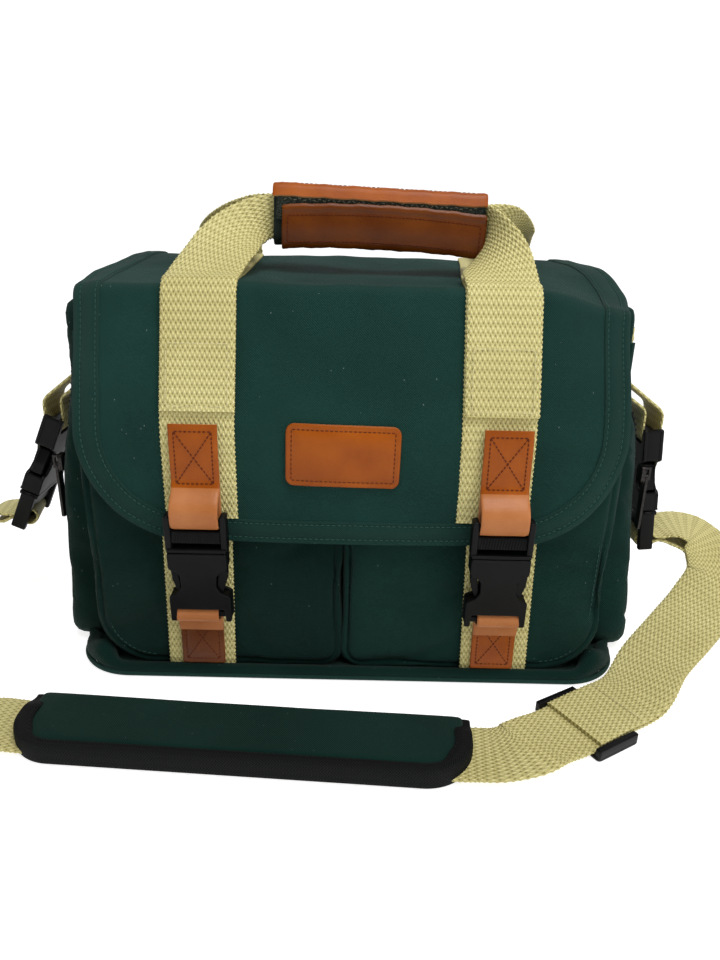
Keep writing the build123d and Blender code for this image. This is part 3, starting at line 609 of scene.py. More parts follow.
def smooth_through(knots, values, at):
    """A smooth curve through values at their knots."""
    knots = np.asarray(knots, float)
    values = np.asarray(values, float)
    slopes = np.gradient(values, knots, axis=0)
    index = np.clip(np.searchsorted(knots, at, side="right") - 1, 0, len(knots) - 2)
    step = (knots[index + 1] - knots[index])[:, None]
    share = ((at - knots[index]) / step[:, 0])[:, None]
    square, cube = share ** 2, share ** 3
    return (
        (2 * cube - 3 * square + 1) * values[index]
        + (cube - 2 * square + share) * step * slopes[index]
        + (3 * square - 2 * cube) * values[index + 1]
        + (cube - square) * step * slopes[index + 1]
    )


def unit(vectors):
    """The same directions, one long."""
    return vectors / np.maximum(np.linalg.norm(vectors, axis=-1, keepdims=True), 1e-12)


def inward_from(outline):
    """Directions square to an open flat outline, to the left of the way that it runs."""
    along = unit(np.gradient(outline, axis=0))
    return np.stack([-along[:, 1], along[:, 0]], -1)


# ------------------------------------------------------------------ straps
WEB_WIDTH = 38.0
WEB_THICK = 1.9


def strap_frames(stations, step):
    """Centres, width directions, face directions, widths and travel along a strap."""
    centres = np.array([station[0] for station in stations], float)
    across = unit(np.array([station[1] for station in stations], float))
    widths = np.array([station[2] for station in stations], float)
    knots = travel_along(centres)
    travel = np.linspace(0, knots[-1], int(round(knots[-1] / step)) + 1)
    centres = smooth_through(knots, centres, travel)
    along = unit(np.gradient(centres, travel, axis=0))
    across = smooth_through(knots, across, travel)
    across = unit(across - along * np.sum(across * along, axis=1, keepdims=True))
    face = np.cross(across, along)
    return centres, across, face, np.interp(travel, knots, widths), travel


STRAP_COLUMNS = np.array(
    [-1, -0.985, -0.95, -0.86, -0.7, -0.5, -0.25, 0, 0.25, 0.5, 0.7, 0.86, 0.95, 0.985, 1]
)
EDGE_STEP = 0.82
EDGE_PITCH = 3 * EDGE_STEP  # three rows to each bead of the selvedge


def strap_surface(stations, thick, scallop=0.35, step=EDGE_STEP):
    """Outer and inner grids of a strap and its places on the fabric."""
    centres, across, face, widths, travel = strap_frames(stations, step)
    bead = scallop * np.cos(2 * math.pi * travel / EDGE_PITCH)
    edge = np.abs(STRAP_COLUMNS) ** 12
    half = widths[:, None] / 2 * STRAP_COLUMNS + np.sign(STRAP_COLUMNS) * edge * bead[:, None]
    depth = thick / 2 * np.sqrt(1 - np.minimum(np.abs(STRAP_COLUMNS), 0.995) ** 24)
    middle = centres[:, None] + across[:, None] * half[..., None]
    lift = face[:, None] * depth[None, :, None]
    uv = fabric(STRAP_COLUMNS * widths[:, None] / 2, travel[:, None])
    return middle + lift, middle - lift, uv


def webbing(name, stations):
    """Cream webbing through stations, which are (centre, width direction, width)."""
    outer, inner, uv = strap_surface(stations, WEB_THICK)
    return closed_sheet(name, outer, inner, ["webbing"], uv)


def leather_strip(name, stations, thick, material):
    """A leather strip with cut edges."""
    outer, inner, uv = strap_surface(stations, thick, scallop=0.0, step=1.0)
    return closed_sheet(name, outer, inner, [material, "leather_edge"], uv, rim_slot=1)


def finish_piece(made, body, slot, *nodes):
    """Put a piece on its body and hide the CAD nodes it stands for; slot, its finish, is not used."""
    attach(made, body)
    if nodes:
        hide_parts(*nodes)
    return made


# ------------------------------------------------------------------ stitches
def stitch_ends(run, pitch, length):
    """First and last point of each stitch along a run of points."""
    travel = travel_along(run)
    count = max(1, int(travel[-1] / pitch))
    middles = (np.arange(count) + 0.5) * travel[-1] / count
    firsts, lasts = (
        points_at(np.clip(middles + shift * length, 0, travel[-1]), travel, run) for shift in (-0.5, 0.5)
    )
    return zip(firsts, lasts)


CAPSULE_SIDES = 6
CAPSULE_RINGS = ((0.0, 0.45), (0.18, 0.95), (0.82, 0.95), (1.0, 0.45))     # shares of length and radius


def stitches(name, runs, material, body, slot, pitch=3.0, length=2.1, radius=0.36):
    """One mesh holding every stitch of the runs."""
    points, faces = [], []
    turn = np.arange(CAPSULE_SIDES) * 2 * math.pi / CAPSULE_SIDES
    for run in runs:
        for first, last in stitch_ends(np.asarray(run, float), pitch, length):
            along = last - first
            reach = np.linalg.norm(along)
            if reach < 0.2:
                continue
            along = along / reach
            side = np.cross(along, (0.0, 0.0, 1.0) if abs(along[2]) < 0.9 else (1.0, 0.0, 0.0))
            side = side / np.linalg.norm(side)
            up = np.cross(along, side)
            ring = np.cos(turn)[:, None] * side + np.sin(turn)[:, None] * up
            start = len(points)
            for share, width in CAPSULE_RINGS:
                points.extend(first + along * reach * share + ring * radius * width)
            for level in range(len(CAPSULE_RINGS) - 1):
                for corner in range(CAPSULE_SIDES):
                    beside = (corner + 1) % CAPSULE_SIDES
                    low = start + level * CAPSULE_SIDES
                    faces.append((low + corner, low + beside, low + CAPSULE_SIDES + beside,
                                  low + CAPSULE_SIDES + corner))
            faces.append(tuple(start + corner for corner in range(CAPSULE_SIDES - 1, -1, -1)))
            top = start + (len(CAPSULE_RINGS) - 1) * CAPSULE_SIDES
            faces.append(tuple(top + corner for corner in range(CAPSULE_SIDES)))
    made = make_mesh(name, points, faces, [material], sharp=80)
    return finish_piece(made, body, slot)


# ------------------------------------------------------------------ flap
FLAP_LOW_AT, FLAP_HIGH_AT = box("flap")
FLAP_HALF = FLAP_HIGH_AT[0]
FLAP_FRONT = FLAP_LOW_AT[1]
FLAP_BACK = FLAP_HIGH_AT[1]
FLAP_LOW = FLAP_LOW_AT[2]
FLAP_CREST = (-66.0, 220.0)     # Y and Z of the fold between its front and its top
FLAP_KNEE = 150.0               # height where its front begins to lean back
FLAP_CORNER = 60.0              # radius of its lower corners
FLAP_THICK = 3.6
WEB_X = 77.0                    # middle of each band of webbing
WEB_LIFT = 1.1                  # middle of the webbing above the flap's face


def flap_line():
    """The flap's middle section in Y and Z, from its lower front edge to the back."""
    top = FLAP_HIGH_AT[2] + 0.2
    corners = [
        (FLAP_FRONT, FLAP_LOW), (FLAP_FRONT, FLAP_KNEE), FLAP_CREST, (FLAP_BACK, top), (FLAP_BACK, 213.0),
    ]
    line = rounded_path(corners, [60.0, 9.0, 6.0], 0.5)
    travel = np.arange(len(line)) * np.linalg.norm(line[1] - line[0])
    along = unit(np.gradient(line, travel, axis=0))
    normal = np.stack([-along[:, 1], along[:, 0]], -1)
    return line, normal, travel


FLAP_LINE, FLAP_NORMAL, FLAP_TRAVEL = flap_line()
FLAP_LENGTH = FLAP_TRAVEL[-1]
CREST_AT = FLAP_TRAVEL[np.argmin(np.linalg.norm(FLAP_LINE - np.array([-65.0, 218.0]), axis=1))]


def flap_surface(x, s, lift):
    """Points on the flap: x across it, s up its middle line from the lower edge, lift off its face."""
    x, s, lift = np.broadcast_arrays(*(np.asarray(values, float) for values in (x, s, lift)))
    y, z = (np.interp(s, FLAP_TRAVEL, FLAP_LINE[:, axis]) for axis in (0, 1))
    normal_y, normal_z = (np.interp(s, FLAP_TRAVEL, FLAP_NORMAL[:, axis]) for axis in (0, 1))
    side = np.abs(x) / FLAP_HALF
    near_crest = np.exp(-(((s - CREST_AT) / 42.0) ** 2))
    on_top = smooth_step(CREST_AT - 15, CREST_AT + 25, s)
    on_front = 1 - smooth_step(CREST_AT - 30, CREST_AT + 5, s)

    after_crest = np.exp(-(((s - CREST_AT - 12) / 40.0) ** 2))
    mid_top = smooth_step(CREST_AT - 10, CREST_AT + 40, s) * smooth_step(FLAP_LENGTH, FLAP_LENGTH - 50, s)
    droop = np.where(x > 0, 13.0, 4.0) * smooth_step(0.62, 1.05, side) * after_crest
    pull_back = np.where(x > 0, 5.0, 2.0) * smooth_step(0.7, 1.05, side) * near_crest
    x = x + np.where(x > 0, 8.0, -3.0) * smooth_step(0.7, 1.0, side) * mid_top
    strap_pull = np.exp(-(((np.abs(x) - WEB_X) / 20.0) ** 2))
    puff = -1.3 * strap_pull + 1.2 * np.exp(-((x / 42.0) ** 2)) * on_front
    edge_curl = -1.8 * smooth_step(0.86, 1.0, side) * on_front
    fold = 1.6 * np.exp(-(((x + 50 + 0.12 * (s - 90)) / 6.0) ** 2)) * smooth_step(45, 110, s) * on_front
    sag = -2.2 * np.exp(-(((x - 20) / 55.0) ** 2)) * on_top * smooth_step(FLAP_LENGTH, FLAP_LENGTH - 60, s)
    uneven = ripple(x, s, 3, 70.0, 0.75) + ripple(x, s, 8, 26.0, 0.16)
    uneven = uneven * (1 - 0.75 * strap_pull) * smooth_step(-5, 30, s)
    off = lift + puff + edge_curl + fold * 0.8 + sag + uneven
    return np.stack([x, y + normal_y * off + pull_back, z + normal_z * off - droop], -1)


def flap_half_width(s):
    """Half the flap's width at a height, rounded at its lower corners."""
    rise = np.clip(FLAP_CORNER - s, 0, FLAP_CORNER)
    return FLAP_HALF - FLAP_CORNER + np.sqrt(FLAP_CORNER ** 2 - rise ** 2)


def flap_outline():
    """The flap's flat outline from its back left corner round to its back right corner."""
    corners = [(-FLAP_HALF, FLAP_LENGTH), (-FLAP_HALF, 0), (FLAP_HALF, 0), (FLAP_HALF, FLAP_LENGTH)]
    return rounded_path(corners, [FLAP_CORNER, FLAP_CORNER], 1.5)


def make_flap():
    """The flap's cloth, the binding folded over its edge and the stitching of its hem."""
    rows_low = FLAP_CORNER * (1 - np.cos(np.linspace(0, math.pi / 2, 34)))
    rows_high = np.linspace(FLAP_CORNER, FLAP_LENGTH, 170)[1:]
    s = np.concatenate([rows_low, rows_high])[:, None]
    share = np.linspace(-1, 1, 141)[None, :]
    x = share * flap_half_width(s)
    outer = flap_surface(x, s, 0.0)
    inner = flap_surface(x, s, -FLAP_THICK)
    flap = closed_sheet("flap_cloth", outer, inner, ["canvas"], fabric(x, s))
    finish_piece(flap, "flap", "green_canvas", "flap")

    outline = flap_outline()
    inward = inward_from(outline)
    section = [
        (9.5, -4.3), (1.0, -4.7), (-0.9, -3.9), (-1.4, -2.0), (-1.1, 0.2), (0.3, 1.05), (2.0, 1.15),
        (3.0, 0.62), (4.0, 1.15), (8.0, 1.3), (10.2, 1.15), (11.1, 0.62), (12.0, 1.0), (12.8, 0.7),
        (13.1, -0.2), (0.4, -0.3), (0.4, -3.4), (9.5, -3.5),
    ]
    rings = np.zeros((len(outline), len(section), 3))
    uv = np.zeros((len(outline), len(section), 2))
    travel = np.arange(len(outline)) * np.linalg.norm(outline[1] - outline[0])
    for column, (inset, lift) in enumerate(section):
        spot = outline + inward * inset
        rings[:, column] = flap_surface(spot[:, 0], spot[:, 1], lift)
        uv[:, column] = fabric(inset, travel)
    band = swept_loop("flap_edge_binding", rings, "binding", uv)
    finish_piece(band, "flap", "green_binding", "flap_binding")

    runs = []
    for inset in (3.0, 11.1):
        spot = outline + inward * inset
        runs.append(flap_surface(spot[:, 0], spot[:, 1], 0.95))
    stitches("flap_hem_stitches", runs, "green_thread", "flap", "green_binding", 2.9, 2.0, 0.3)


def flap_stations(x, low, high, lift, lean=0.0):
    """Stations of a strap lying on the flap from one height to another."""
    heights = np.linspace(low, high, int((high - low) / 6.0) + 1)
    slant = lean * smooth_step(CREST_AT - 10, FLAP_LENGTH, heights)
    middle = flap_surface(x + slant, heights, lift)
    return [(point, (1, 0, 0), WEB_WIDTH) for point in middle]


def make_flap_webbing():
    """The two bands of webbing that run up the flap and over its top."""
    for side, sign in SIDES.items():
        lean = 12.0 if sign > 0 else -4.0
        stations = flap_stations(sign * WEB_X - 1.5, 13.5, FLAP_LENGTH - 17, WEB_LIFT, lean=lean)
        web = webbing(f"flap_strap_{side}", stations)
        finish_piece(web, "flap", "cream_webbing", f"flap_webbing_{side}")


# ------------------------------------------------------------------ patch and leather tabs
def tab_lift(across, up, half_w, half_h, thick):
    """Height of a stitched leather piece: drawn down along its seam and puffed inside it."""
    seam = np.minimum(half_w - 3.0 - np.abs(across), half_h - 3.0 - np.abs(up))
    return thick - 0.3 * np.exp(-((seam / 0.9) ** 2)) + 0.3 * smooth_step(0, 5, seam)


ROUND_EDGE = 0.7            # how far the leather's edge is rounded over


def tab_grid(surface, half_w, half_h, corner, thick):
    """Outer and inner grids of a leather piece with rounded corners, in its own plane."""
    inner_h = half_h - corner
    turn = np.linspace(0, math.pi / 2, 9)
    arc = corner * (1 - np.cos(turn))
    heights = np.concatenate([
        -half_h + arc, np.linspace(-inner_h, inner_h, 31)[1:-1], half_h - arc[::-1],
    ])
    shortfall = np.maximum(np.abs(heights) - inner_h, 0)
    widths = half_w - corner + np.sqrt(np.maximum(corner ** 2 - shortfall ** 2, 0))
    ends = np.array([0.95, 0.975, 0.992, 1])
    shares = np.concatenate([-ends[::-1], np.linspace(-0.9, 0.9, 31), ends])
    across = widths[:, None] * shares[None, :]
    up = np.broadcast_to(heights[:, None], across.shape)
    edge = np.minimum(widths[:, None] - np.abs(across), half_h - np.abs(up))
    edge = np.clip(edge / ROUND_EDGE, 0, 1)
    crown = np.sqrt(1 - (1 - edge) ** 2)
    lift = tab_lift(across, up, half_w, half_h, thick) - thick * 0.45 * (1 - crown)
    return surface(across, up, lift), surface(across, up, 0 * lift), np.stack([across, up], -1)


def stitched_box(surface, half_w, half_h, inset, thick, cross=False):
    """Runs of stitching round a leather piece, with crossed diagonals if wanted."""
    w, h = half_w - inset, half_h - inset
    corners = [(-w, -h), (w, -h), (w, h), (-w, h), (-w, -h)]
    lines = list(zip(corners, corners[1:]))
    runs = []
    if cross:
        lines += [((-w, -h), (w, h)), ((-w, h), (w, -h))]
    for first, last in lines:
        line = resample(np.array([first, last], float), 1.5)
        lift = tab_lift(line[:, 0], line[:, 1], half_w, half_h, thick)
        runs.append(surface(line[:, 0], line[:, 1], lift - 0.05))
    return runs


PATCH_TURN = -1.2           # degrees, right end lower


def make_patch():
    """The blank leather patch, sewn on all round."""
    low, high = box("leather_patch")
    middle_x = (low[0] + high[0]) / 2
    half_w = (high[0] - low[0]) / 2
    half_h = 16.4
    middle_s = (low[2] + high[2]) / 2 - FLAP_LOW
    turn = math.radians(PATCH_TURN)

    def surface(across, up, lift):
        x = middle_x + across * math.cos(turn) - up * math.sin(turn)
        s = middle_s + across * math.sin(turn) + up * math.cos(turn)
        return flap_surface(x, s, lift + 0.05)

    outer, inner, uv = tab_grid(surface, half_w, half_h, 4.5, 1.7)
    patch = closed_sheet("patch_leather", outer, inner, ["leather", "leather_edge"], uv, rim_slot=1)
    finish_piece(patch, "flap", "tan_leather", "leather_patch")
    runs = stitched_box(surface, half_w, half_h, 3.0, 1.7)
    stitches("patch_stitches", runs, "brown_thread", "flap", "tan_leather", 2.35, 1.7, 0.36)


def strip_stations(line, x, width):
    """Stations of a strip that follows a line in Y and Z, straight across X."""
    return [((x, y, z), (1, 0, 0), width) for y, z in line]


PIVOT_UP = 39.1             # prong pivots above the socket's bar, and out from the middle
PIVOT_OUT = 10.2
END_BAR = 55.8              # end bar above the socket's bar


def buckle_place(kind, side):
    """Bar position, axes and scale of a buckle, read from its prong joints."""
    pivots = {}
    for joint in frame["joints"]:
        for prong in "ab":
            if joint["name"] == f"{kind}_prong_{prong}_{side}_squeeze":
                pivots[prong] = np.array(joint["pos_m"]) / MM
                y_axis = np.array(joint["axis"], float)
    size = np.linalg.norm(pivots["a"] - pivots["b"]) / (2 * PIVOT_OUT)
    x_axis = unit(pivots["b"] - pivots["a"])
    z_axis = np.cross(x_axis, y_axis)
    middle = (pivots["a"] + pivots["b"]) / 2
    return middle - z_axis * PIVOT_UP * size, np.stack([x_axis, y_axis, z_axis], -1), size


def end_bar_place(kind, side):
    """Middle of the end bar of a buckle's plug."""
    bar, axes, size = buckle_place(kind, side)
    return bar + axes @ np.array([0, 0, END_BAR * size])


TAB_THICK = 1.6


def make_upper_tab(side):
    """The leather tab that hangs a front buckle's plug from the flap."""
    low, high = box(f"upper_leather_tab_{side}")
    x = (low[0] + high[0]) / 2
    width = high[0] - low[0]
    _, bar_y, bar_z = end_bar_place("front", side)
    flap_face = FLAP_FRONT - 2.1
    back_y, front_y = flap_face - 1.0, flap_face - 2.7
    foot, top = 118.5, 152.0
    path = [
        (back_y, 133.0), (back_y, bar_z + 4.0), (bar_y + 3.6, bar_z - 3.2), (bar_y - 3.6, bar_z - 3.2),
        (bar_y - 4.6, bar_z + 6.0), (bar_y - 4.0, bar_z + 10.0), (front_y - 0.6, 117.5),
    ]
    line = rounded_path(path, [1.0, 2.2, 2.6, 6.0, 9.0], 1.0)
    heights = np.linspace(foot + 1.0, top, 27) - FLAP_LOW
    sewn = flap_surface(x, heights, 4.8)[:, 1:]
    line = soften(np.concatenate([line, sewn]), 3)
    made = leather_strip(f"upper_tab_{side}", strip_stations(line, x, width), TAB_THICK, "leather")
    # Faces below the tab's foot, where it wraps the plug's end bar, take the lighter leather: a painted
    # highlight from the lamp above.
    made.data.materials.append(MATERIALS["leather_loop"])
    for face in made.data.polygons:
        if face.center.z < (foot + 0.5) * MM and face.material_index == 0:
            face.material_index = 2
    finish_piece(made, "flap", "tan_leather", f"upper_leather_tab_{side}")

    front = line[np.argmin(line[:, 1]):]
    half_h = (top - foot) / 2
    middle_z = (top + foot) / 2

    def surface(across, up, lift):
        z = middle_z + up + 0 * across
        y = np.interp(z, front[:, 1], front[:, 0]) - TAB_THICK / 2 - 0.05
        return np.stack([x + across + 0 * up, y, z], -1)

    runs = stitched_box(surface, width / 2, half_h, 2.9, TAB_THICK, cross=True)
    stitches(f"upper_tab_stitches_{side}", runs, "brown_thread", "flap", "tan_leather", 2.2, 1.6, 0.38)


def make_lower_tab(side):
    """The leather tab and loop that hold a front buckle's socket on its pocket."""
    low, high = box(f"lower_leather_tab_{side}")
    x = (low[0] + high[0]) / 2 + 3.0 * SIDES[side]
    width = high[0] - low[0]
    _, bar_y, bar_z = buckle_place("front", side)[0]
    face = box(f"pocket_webbing_{side}")[0][1] - 0.2
    back_y = face - 1.0
    path = [
        (back_y, 34.0), (back_y - 0.4, 38.0), (bar_y + 3.8, bar_z + 3.6), (bar_y - 3.6, bar_z + 3.6),
        (bar_y - 3.8, bar_z - 3.4), (back_y - 2.2, bar_z - 6.5), (back_y - 1.5, 31.0),
    ]
    line = rounded_path(path, [2.0, 2.6, 2.8, 2.4, 3.0], 1.0)
    loop = strip_stations(line, x, width - 0.4)
    # The loop round the socket's bar is the lighter leather: a painted highlight from the lamp above.
    made = leather_strip(f"lower_loop_{side}", loop, TAB_THICK, "leather_loop")
    finish_piece(made, "root", "tan_leather", f"lower_leather_tab_{side}")

    foot, top = 7.5, 41.5
    half_h = (top - foot) / 2

    def flat(across, up, lift):
        across, up, lift = np.broadcast_arrays(across, up, lift)
        return np.stack([x + across, face - lift - 0.1, foot + half_h + up], -1)

    outer, inner, uv = tab_grid(flat, width / 2 - 0.3, half_h, 1.2, TAB_THICK)
    # The left tab takes the darker brown leather: painted shade, as the lamps stand to the right.
    leather_by_side_shade = "leather_dark" if side == "left" else "leather"
    tab = closed_sheet(f"lower_tab_{side}", outer, inner, [leather_by_side_shade, "leather_edge"], uv, rim_slot=1)
    finish_piece(tab, "root", "tan_leather")
    runs = stitched_box(flat, width / 2, half_h, 3.2, TAB_THICK, cross=True)
    stitches(f"lower_tab_stitches_{side}", runs, "brown_thread", "root", "tan_leather", 2.2, 1.6, 0.38)


# ------------------------------------------------------------------ bag body and pockets
def side_chain(edge, low, high, radius, toward, step):
    """Half of an upright outline: down its side, then round its lower corner."""
    corners = [(edge, high), (edge, low), (edge + toward * radius * 2, low)]
    line = rounded_path(corners, [radius], step)
    keep = line[:, 1] > low + 1e-6
    end = np.array([[edge + toward * radius, low]])
    return np.concatenate([line[keep], end])


def tray(name, left, right, columns, rings, place, material, closed_top=False):
    """A soft tray: a front panel between two side chains, with walls running back from its edge.

    rings are (inset, depth) pairs from the panel's edge back; place turns (across, up, depth)
    arrays into points.
    """
    shares = np.linspace(0, 1, columns)
    panel = left[:, None] * (1 - shares[None, :, None]) + right[:, None] * shares[None, :, None]
    rows = len(left)
    inset, depth = rings[0]
    middle = panel.reshape(-1, 2).mean(0)
    border = [(row, 0) for row in range(rows)] + [(rows - 1, column) for column in range(1, columns)]
    border += [(row, columns - 1) for row in range(rows - 2, -1, -1)]
    if closed_top:
        border += [(0, column) for column in range(columns - 2, 0, -1)]
    edge = np.array([panel[spot] for spot in border])
    closed_ring = np.concatenate([edge[-1:], edge, edge[:1]]) if closed_top else edge
    along = unit(np.gradient(closed_ring, axis=0))
    if closed_top:
        along = along[1:-1]
    outward = np.stack([along[:, 1], -along[:, 0]], -1)
    if np.sum(outward * (edge - middle)) < 0:
        outward = -outward

    span = rows * columns
    index = np.arange(span).reshape(rows, columns)
    flat = panel.reshape(-1, 2)
    points = [place(flat[:, 0], flat[:, 1], np.full(span, depth))]
    uv = [flat]
    faces = [grid_faces(rows, columns, flip=True)]
    before = np.array([index[spot] for spot in border])
    start = span
    walked = 0.0
    for (inset, depth), (inset_next, depth_next) in zip(rings, rings[1:]):
        walked += math.hypot(inset_next - inset, depth_next - depth)
        ring = edge + outward * inset_next
        points.append(place(ring[:, 0], ring[:, 1], np.full(len(ring), depth_next)))
        uv.append(edge + outward * walked)
        now = np.arange(len(ring)) + start
        if closed_top:
            quads = np.stack([before, np.roll(before, -1), np.roll(now, -1), now], -1)
        else:
            quads = np.stack([before[:-1], before[1:], now[1:], now[:-1]], -1)
        faces.append(quads[:, ::-1])
        before = now
        start += len(ring)
    made = make_mesh(name, np.concatenate(points), np.concatenate(faces), [material],
                     np.concatenate(uv), sharp=180)
    made["last_ring"] = len(before)
    return made


def modify(made, kind, **settings):
    """Add a modifier and apply it."""
    modifier = made.modifiers.new(kind.lower(), kind)
    for key, value in settings.items():
        setattr(modifier, key, value)
    apply_modifiers(made)


def apply_modifiers(made):
    """Turn a piece's modifiers into its mesh."""
    bpy.context.view_layer.update()
    graph = bpy.context.evaluated_depsgraph_get()
    mesh = bpy.data.meshes.new_from_object(made.evaluated_get(graph), depsgraph=graph)
    old = made.data
    made.modifiers.clear()
    made.data = mesh
    bpy.data.meshes.remove(old)


def inflate(made, pinned, pressure, most, frames=18, shrink=0.0, stiffness=15.0):
    """Swell a soft piece with Cloth, moving no point further than most millimetres."""
    rest = mesh_points(made)
    group = made.vertex_groups.new(name="pin")
    group.add([int(spot) for spot in pinned], 1.0, "REPLACE")
    modifier = made.modifiers.new("cloth", "CLOTH")
    cloth = modifier.settings
    cloth.quality = 6
    cloth.mass = 0.25
    cloth.tension_stiffness = stiffness
    cloth.compression_stiffness = stiffness
    cloth.shear_stiffness = 5.0
    cloth.bending_stiffness = 0.8
    cloth.use_pressure = True
    cloth.uniform_pressure_force = pressure
    cloth.effector_weights.gravity = 0.0
    cloth.shrink_min = shrink
    if len(pinned):
        cloth.vertex_group_mass = "pin"
    modifier.point_cache.frame_start = 1
    modifier.point_cache.frame_end = frames
    scene = bpy.context.scene
    for number in range(1, frames + 1):
        scene.frame_set(number)
    apply_modifiers(made)
    scene.frame_set(1)
    made.vertex_groups.clear()
    shift = mesh_points(made) - rest
    reach = np.linalg.norm(shift, axis=1, keepdims=True)
    move_points(made, rest + shift * np.minimum(1.0, most / np.maximum(reach, 1e-6)))


SHELL_LOW, SHELL_HIGH = box("main_shell")


def make_body():
    """The bag's body: front panel, wall all round and back panel, with piping at the seams."""
    half = SHELL_HIGH[0]
    left = even(side_chain(-half, 0.6, SHELL_HIGH[2], 22.0, 1.0, 3.0), 64)
    right = left * np.array([-1, 1])
    depth = SHELL_HIGH[1] - SHELL_LOW[1]

    def place(across, up, back):
        belly = 1.6 * np.sin(np.clip(up / 190, 0, 1) * math.pi)
        spread = belly * np.sin(np.clip(back / depth, 0, 1) * math.pi) * np.abs(across) / half
        uneven = ripple(across + back, up, 21, 60.0, 0.5)
        x = across + np.sign(across) * (spread + np.where(back > 4, uneven * 0.4, 0))
        front_back = np.where(back > depth / 2, uneven + 0.5, -uneven * 0.4)
        y = SHELL_LOW[1] + back + np.where((back < 1) | (back > depth - 1), front_back, 0)
        at_corner = smooth_step(55, 0, back) * smooth_step(0.5, 1, np.abs(across) / half)
        slump = 17.0 * at_corner + 2.5 * smooth_step(depth - 5, depth - 50, back)
        return np.stack([x, y, np.maximum(up - slump * smooth_step(150, 212, up), 0.3)], -1)

    rings = [(0, 0), (0.6, 1.2), (0, 4)] + [(0, step) for step in np.linspace(12, depth - 12, 14)]
    rings += [(0, depth - 4), (0.6, depth - 1.2), (0, depth)]
    shell = tray("body_shell", left, right, 72, rings, place, "canvas")
    back = tray("body_back", left, right, 72, [(0, depth), (0, depth)], place, "canvas")
    join_and_flip(shell, back)
    modify(shell, "SOLIDIFY", thickness=2.6 * MM, offset=-1.0)
    finish_piece(shell, "root", "green_canvas", "main_shell")

    path = np.concatenate([left, right[::-1]])
    for name, depth_at in (("piping_front", 0.0), ("piping_back", depth)):
        line = place(path[:, 0], path[:, 1], np.full(len(path), depth_at))
        line[:, 0] *= 1.004
        line[:, 2] = np.maximum(line[:, 2], 2.0)
        made = round_cord(name, line, 1.9, "binding")
        finish_piece(made, "root", "green_canvas")


def join_and_flip(keep, other):
    """Turn the second mesh inside out and join it to the first along the points that they share."""
    joined = bmesh.new()
    joined.from_mesh(keep.data)
    start = len(joined.faces)
    joined.from_mesh(other.data)
    joined.faces.ensure_lookup_table()
    bmesh.ops.reverse_faces(joined, faces=joined.faces[start:])
    bmesh.ops.remove_doubles(joined, verts=joined.verts, dist=0.00002)
    bmesh.ops.dissolve_degenerate(joined, edges=joined.edges, dist=0.00001)
    joined.to_mesh(keep.data)
    joined.free()
    bpy.data.objects.remove(other)


CORD_STEP = 2.5
CORD_SIDES = 8


def round_cord(name, line, radius, material):
    """A round cord along a line of points, such as piping."""
    line = resample(np.asarray(line, float), CORD_STEP)
    along = unit(np.gradient(line, axis=0))
    side = unit(np.cross(along, np.array([0.0, 1.0, 0.001])))
    up = np.cross(along, side)
    turn = np.arange(CORD_SIDES) * 2 * math.pi / CORD_SIDES
    ring = side[:, None] * np.cos(turn)[None, :, None] + up[:, None] * np.sin(turn)[None, :, None]
    uv = fabric(turn * radius, np.arange(len(line))[:, None] * CORD_STEP)
    return swept_loop(name, line[:, None] + ring * radius, material, uv)


def make_base_roll():
    """The bag's base where it rolls out under the front pockets, fullest at its two corners."""
    half = box("side_pocket_right")[1][0] - 8.0
    front = box("front_pocket_left")[0][1] - 8.0
    rear = SHELL_LOW[1] + 1.0
    step = 2.0
    corners = [(-half, rear), (-half, front), (half, front), (half, rear)]
    outline = rounded_path(corners, [34.0, 34.0], step)
    travel = np.arange(len(outline))[:, None] * step
    inward = inward_from(outline)
    at_corner = np.exp(-(((np.abs(outline[:, 0]) - half + 12) / 9.0) ** 2))
    radius = 3.6 + 4.0 * at_corner
    middle = outline + inward * radius[:, None]
    turn = np.arange(14) * 2 * math.pi / 14
    rings = np.zeros((len(outline), len(turn), 3))
    rings[:, :, :2] = middle[:, None] + inward[:, None] * (radius[:, None] * np.cos(turn))[..., None]
    rings[:, :, 2] = radius[:, None] * (1.03 + np.sin(turn))
    uv = fabric(turn * 4.0, travel)
    # The roll takes the darkest copy of the twill: painted shade along the bag's foot.
    roll = swept_loop("base_roll", rings[:, ::-1], "canvas_left", uv[:, ::-1])
    finish_piece(roll, "root", "green_canvas")

    section = np.array([(27.0, 1.0), (27.0, 2.6), (3.0, 4.4), (3.0, 1.0)])
    rings = np.zeros((len(outline), len(section), 3))
    rings[:, :, :2] = outline[:, None] + inward[:, None] * section[None, :, :1]
    rings[:, :, 2] = section[:, 1]
    uv = fabric(section[:, 0], travel)
    # The gusset also takes the darkest twill, as painted shade.
    gusset = swept_loop("base_gusset", rings[:, ::-1], "canvas_left", uv[:, ::-1])
    finish_piece(gusset, "root", "green_canvas")

    edge = np.concatenate([outline + inward * 0.6, np.full((len(outline), 1), 2.0)], 1)
    finish_piece(round_cord("base_piping", edge, 1.5, "binding"), "root", "green_canvas")


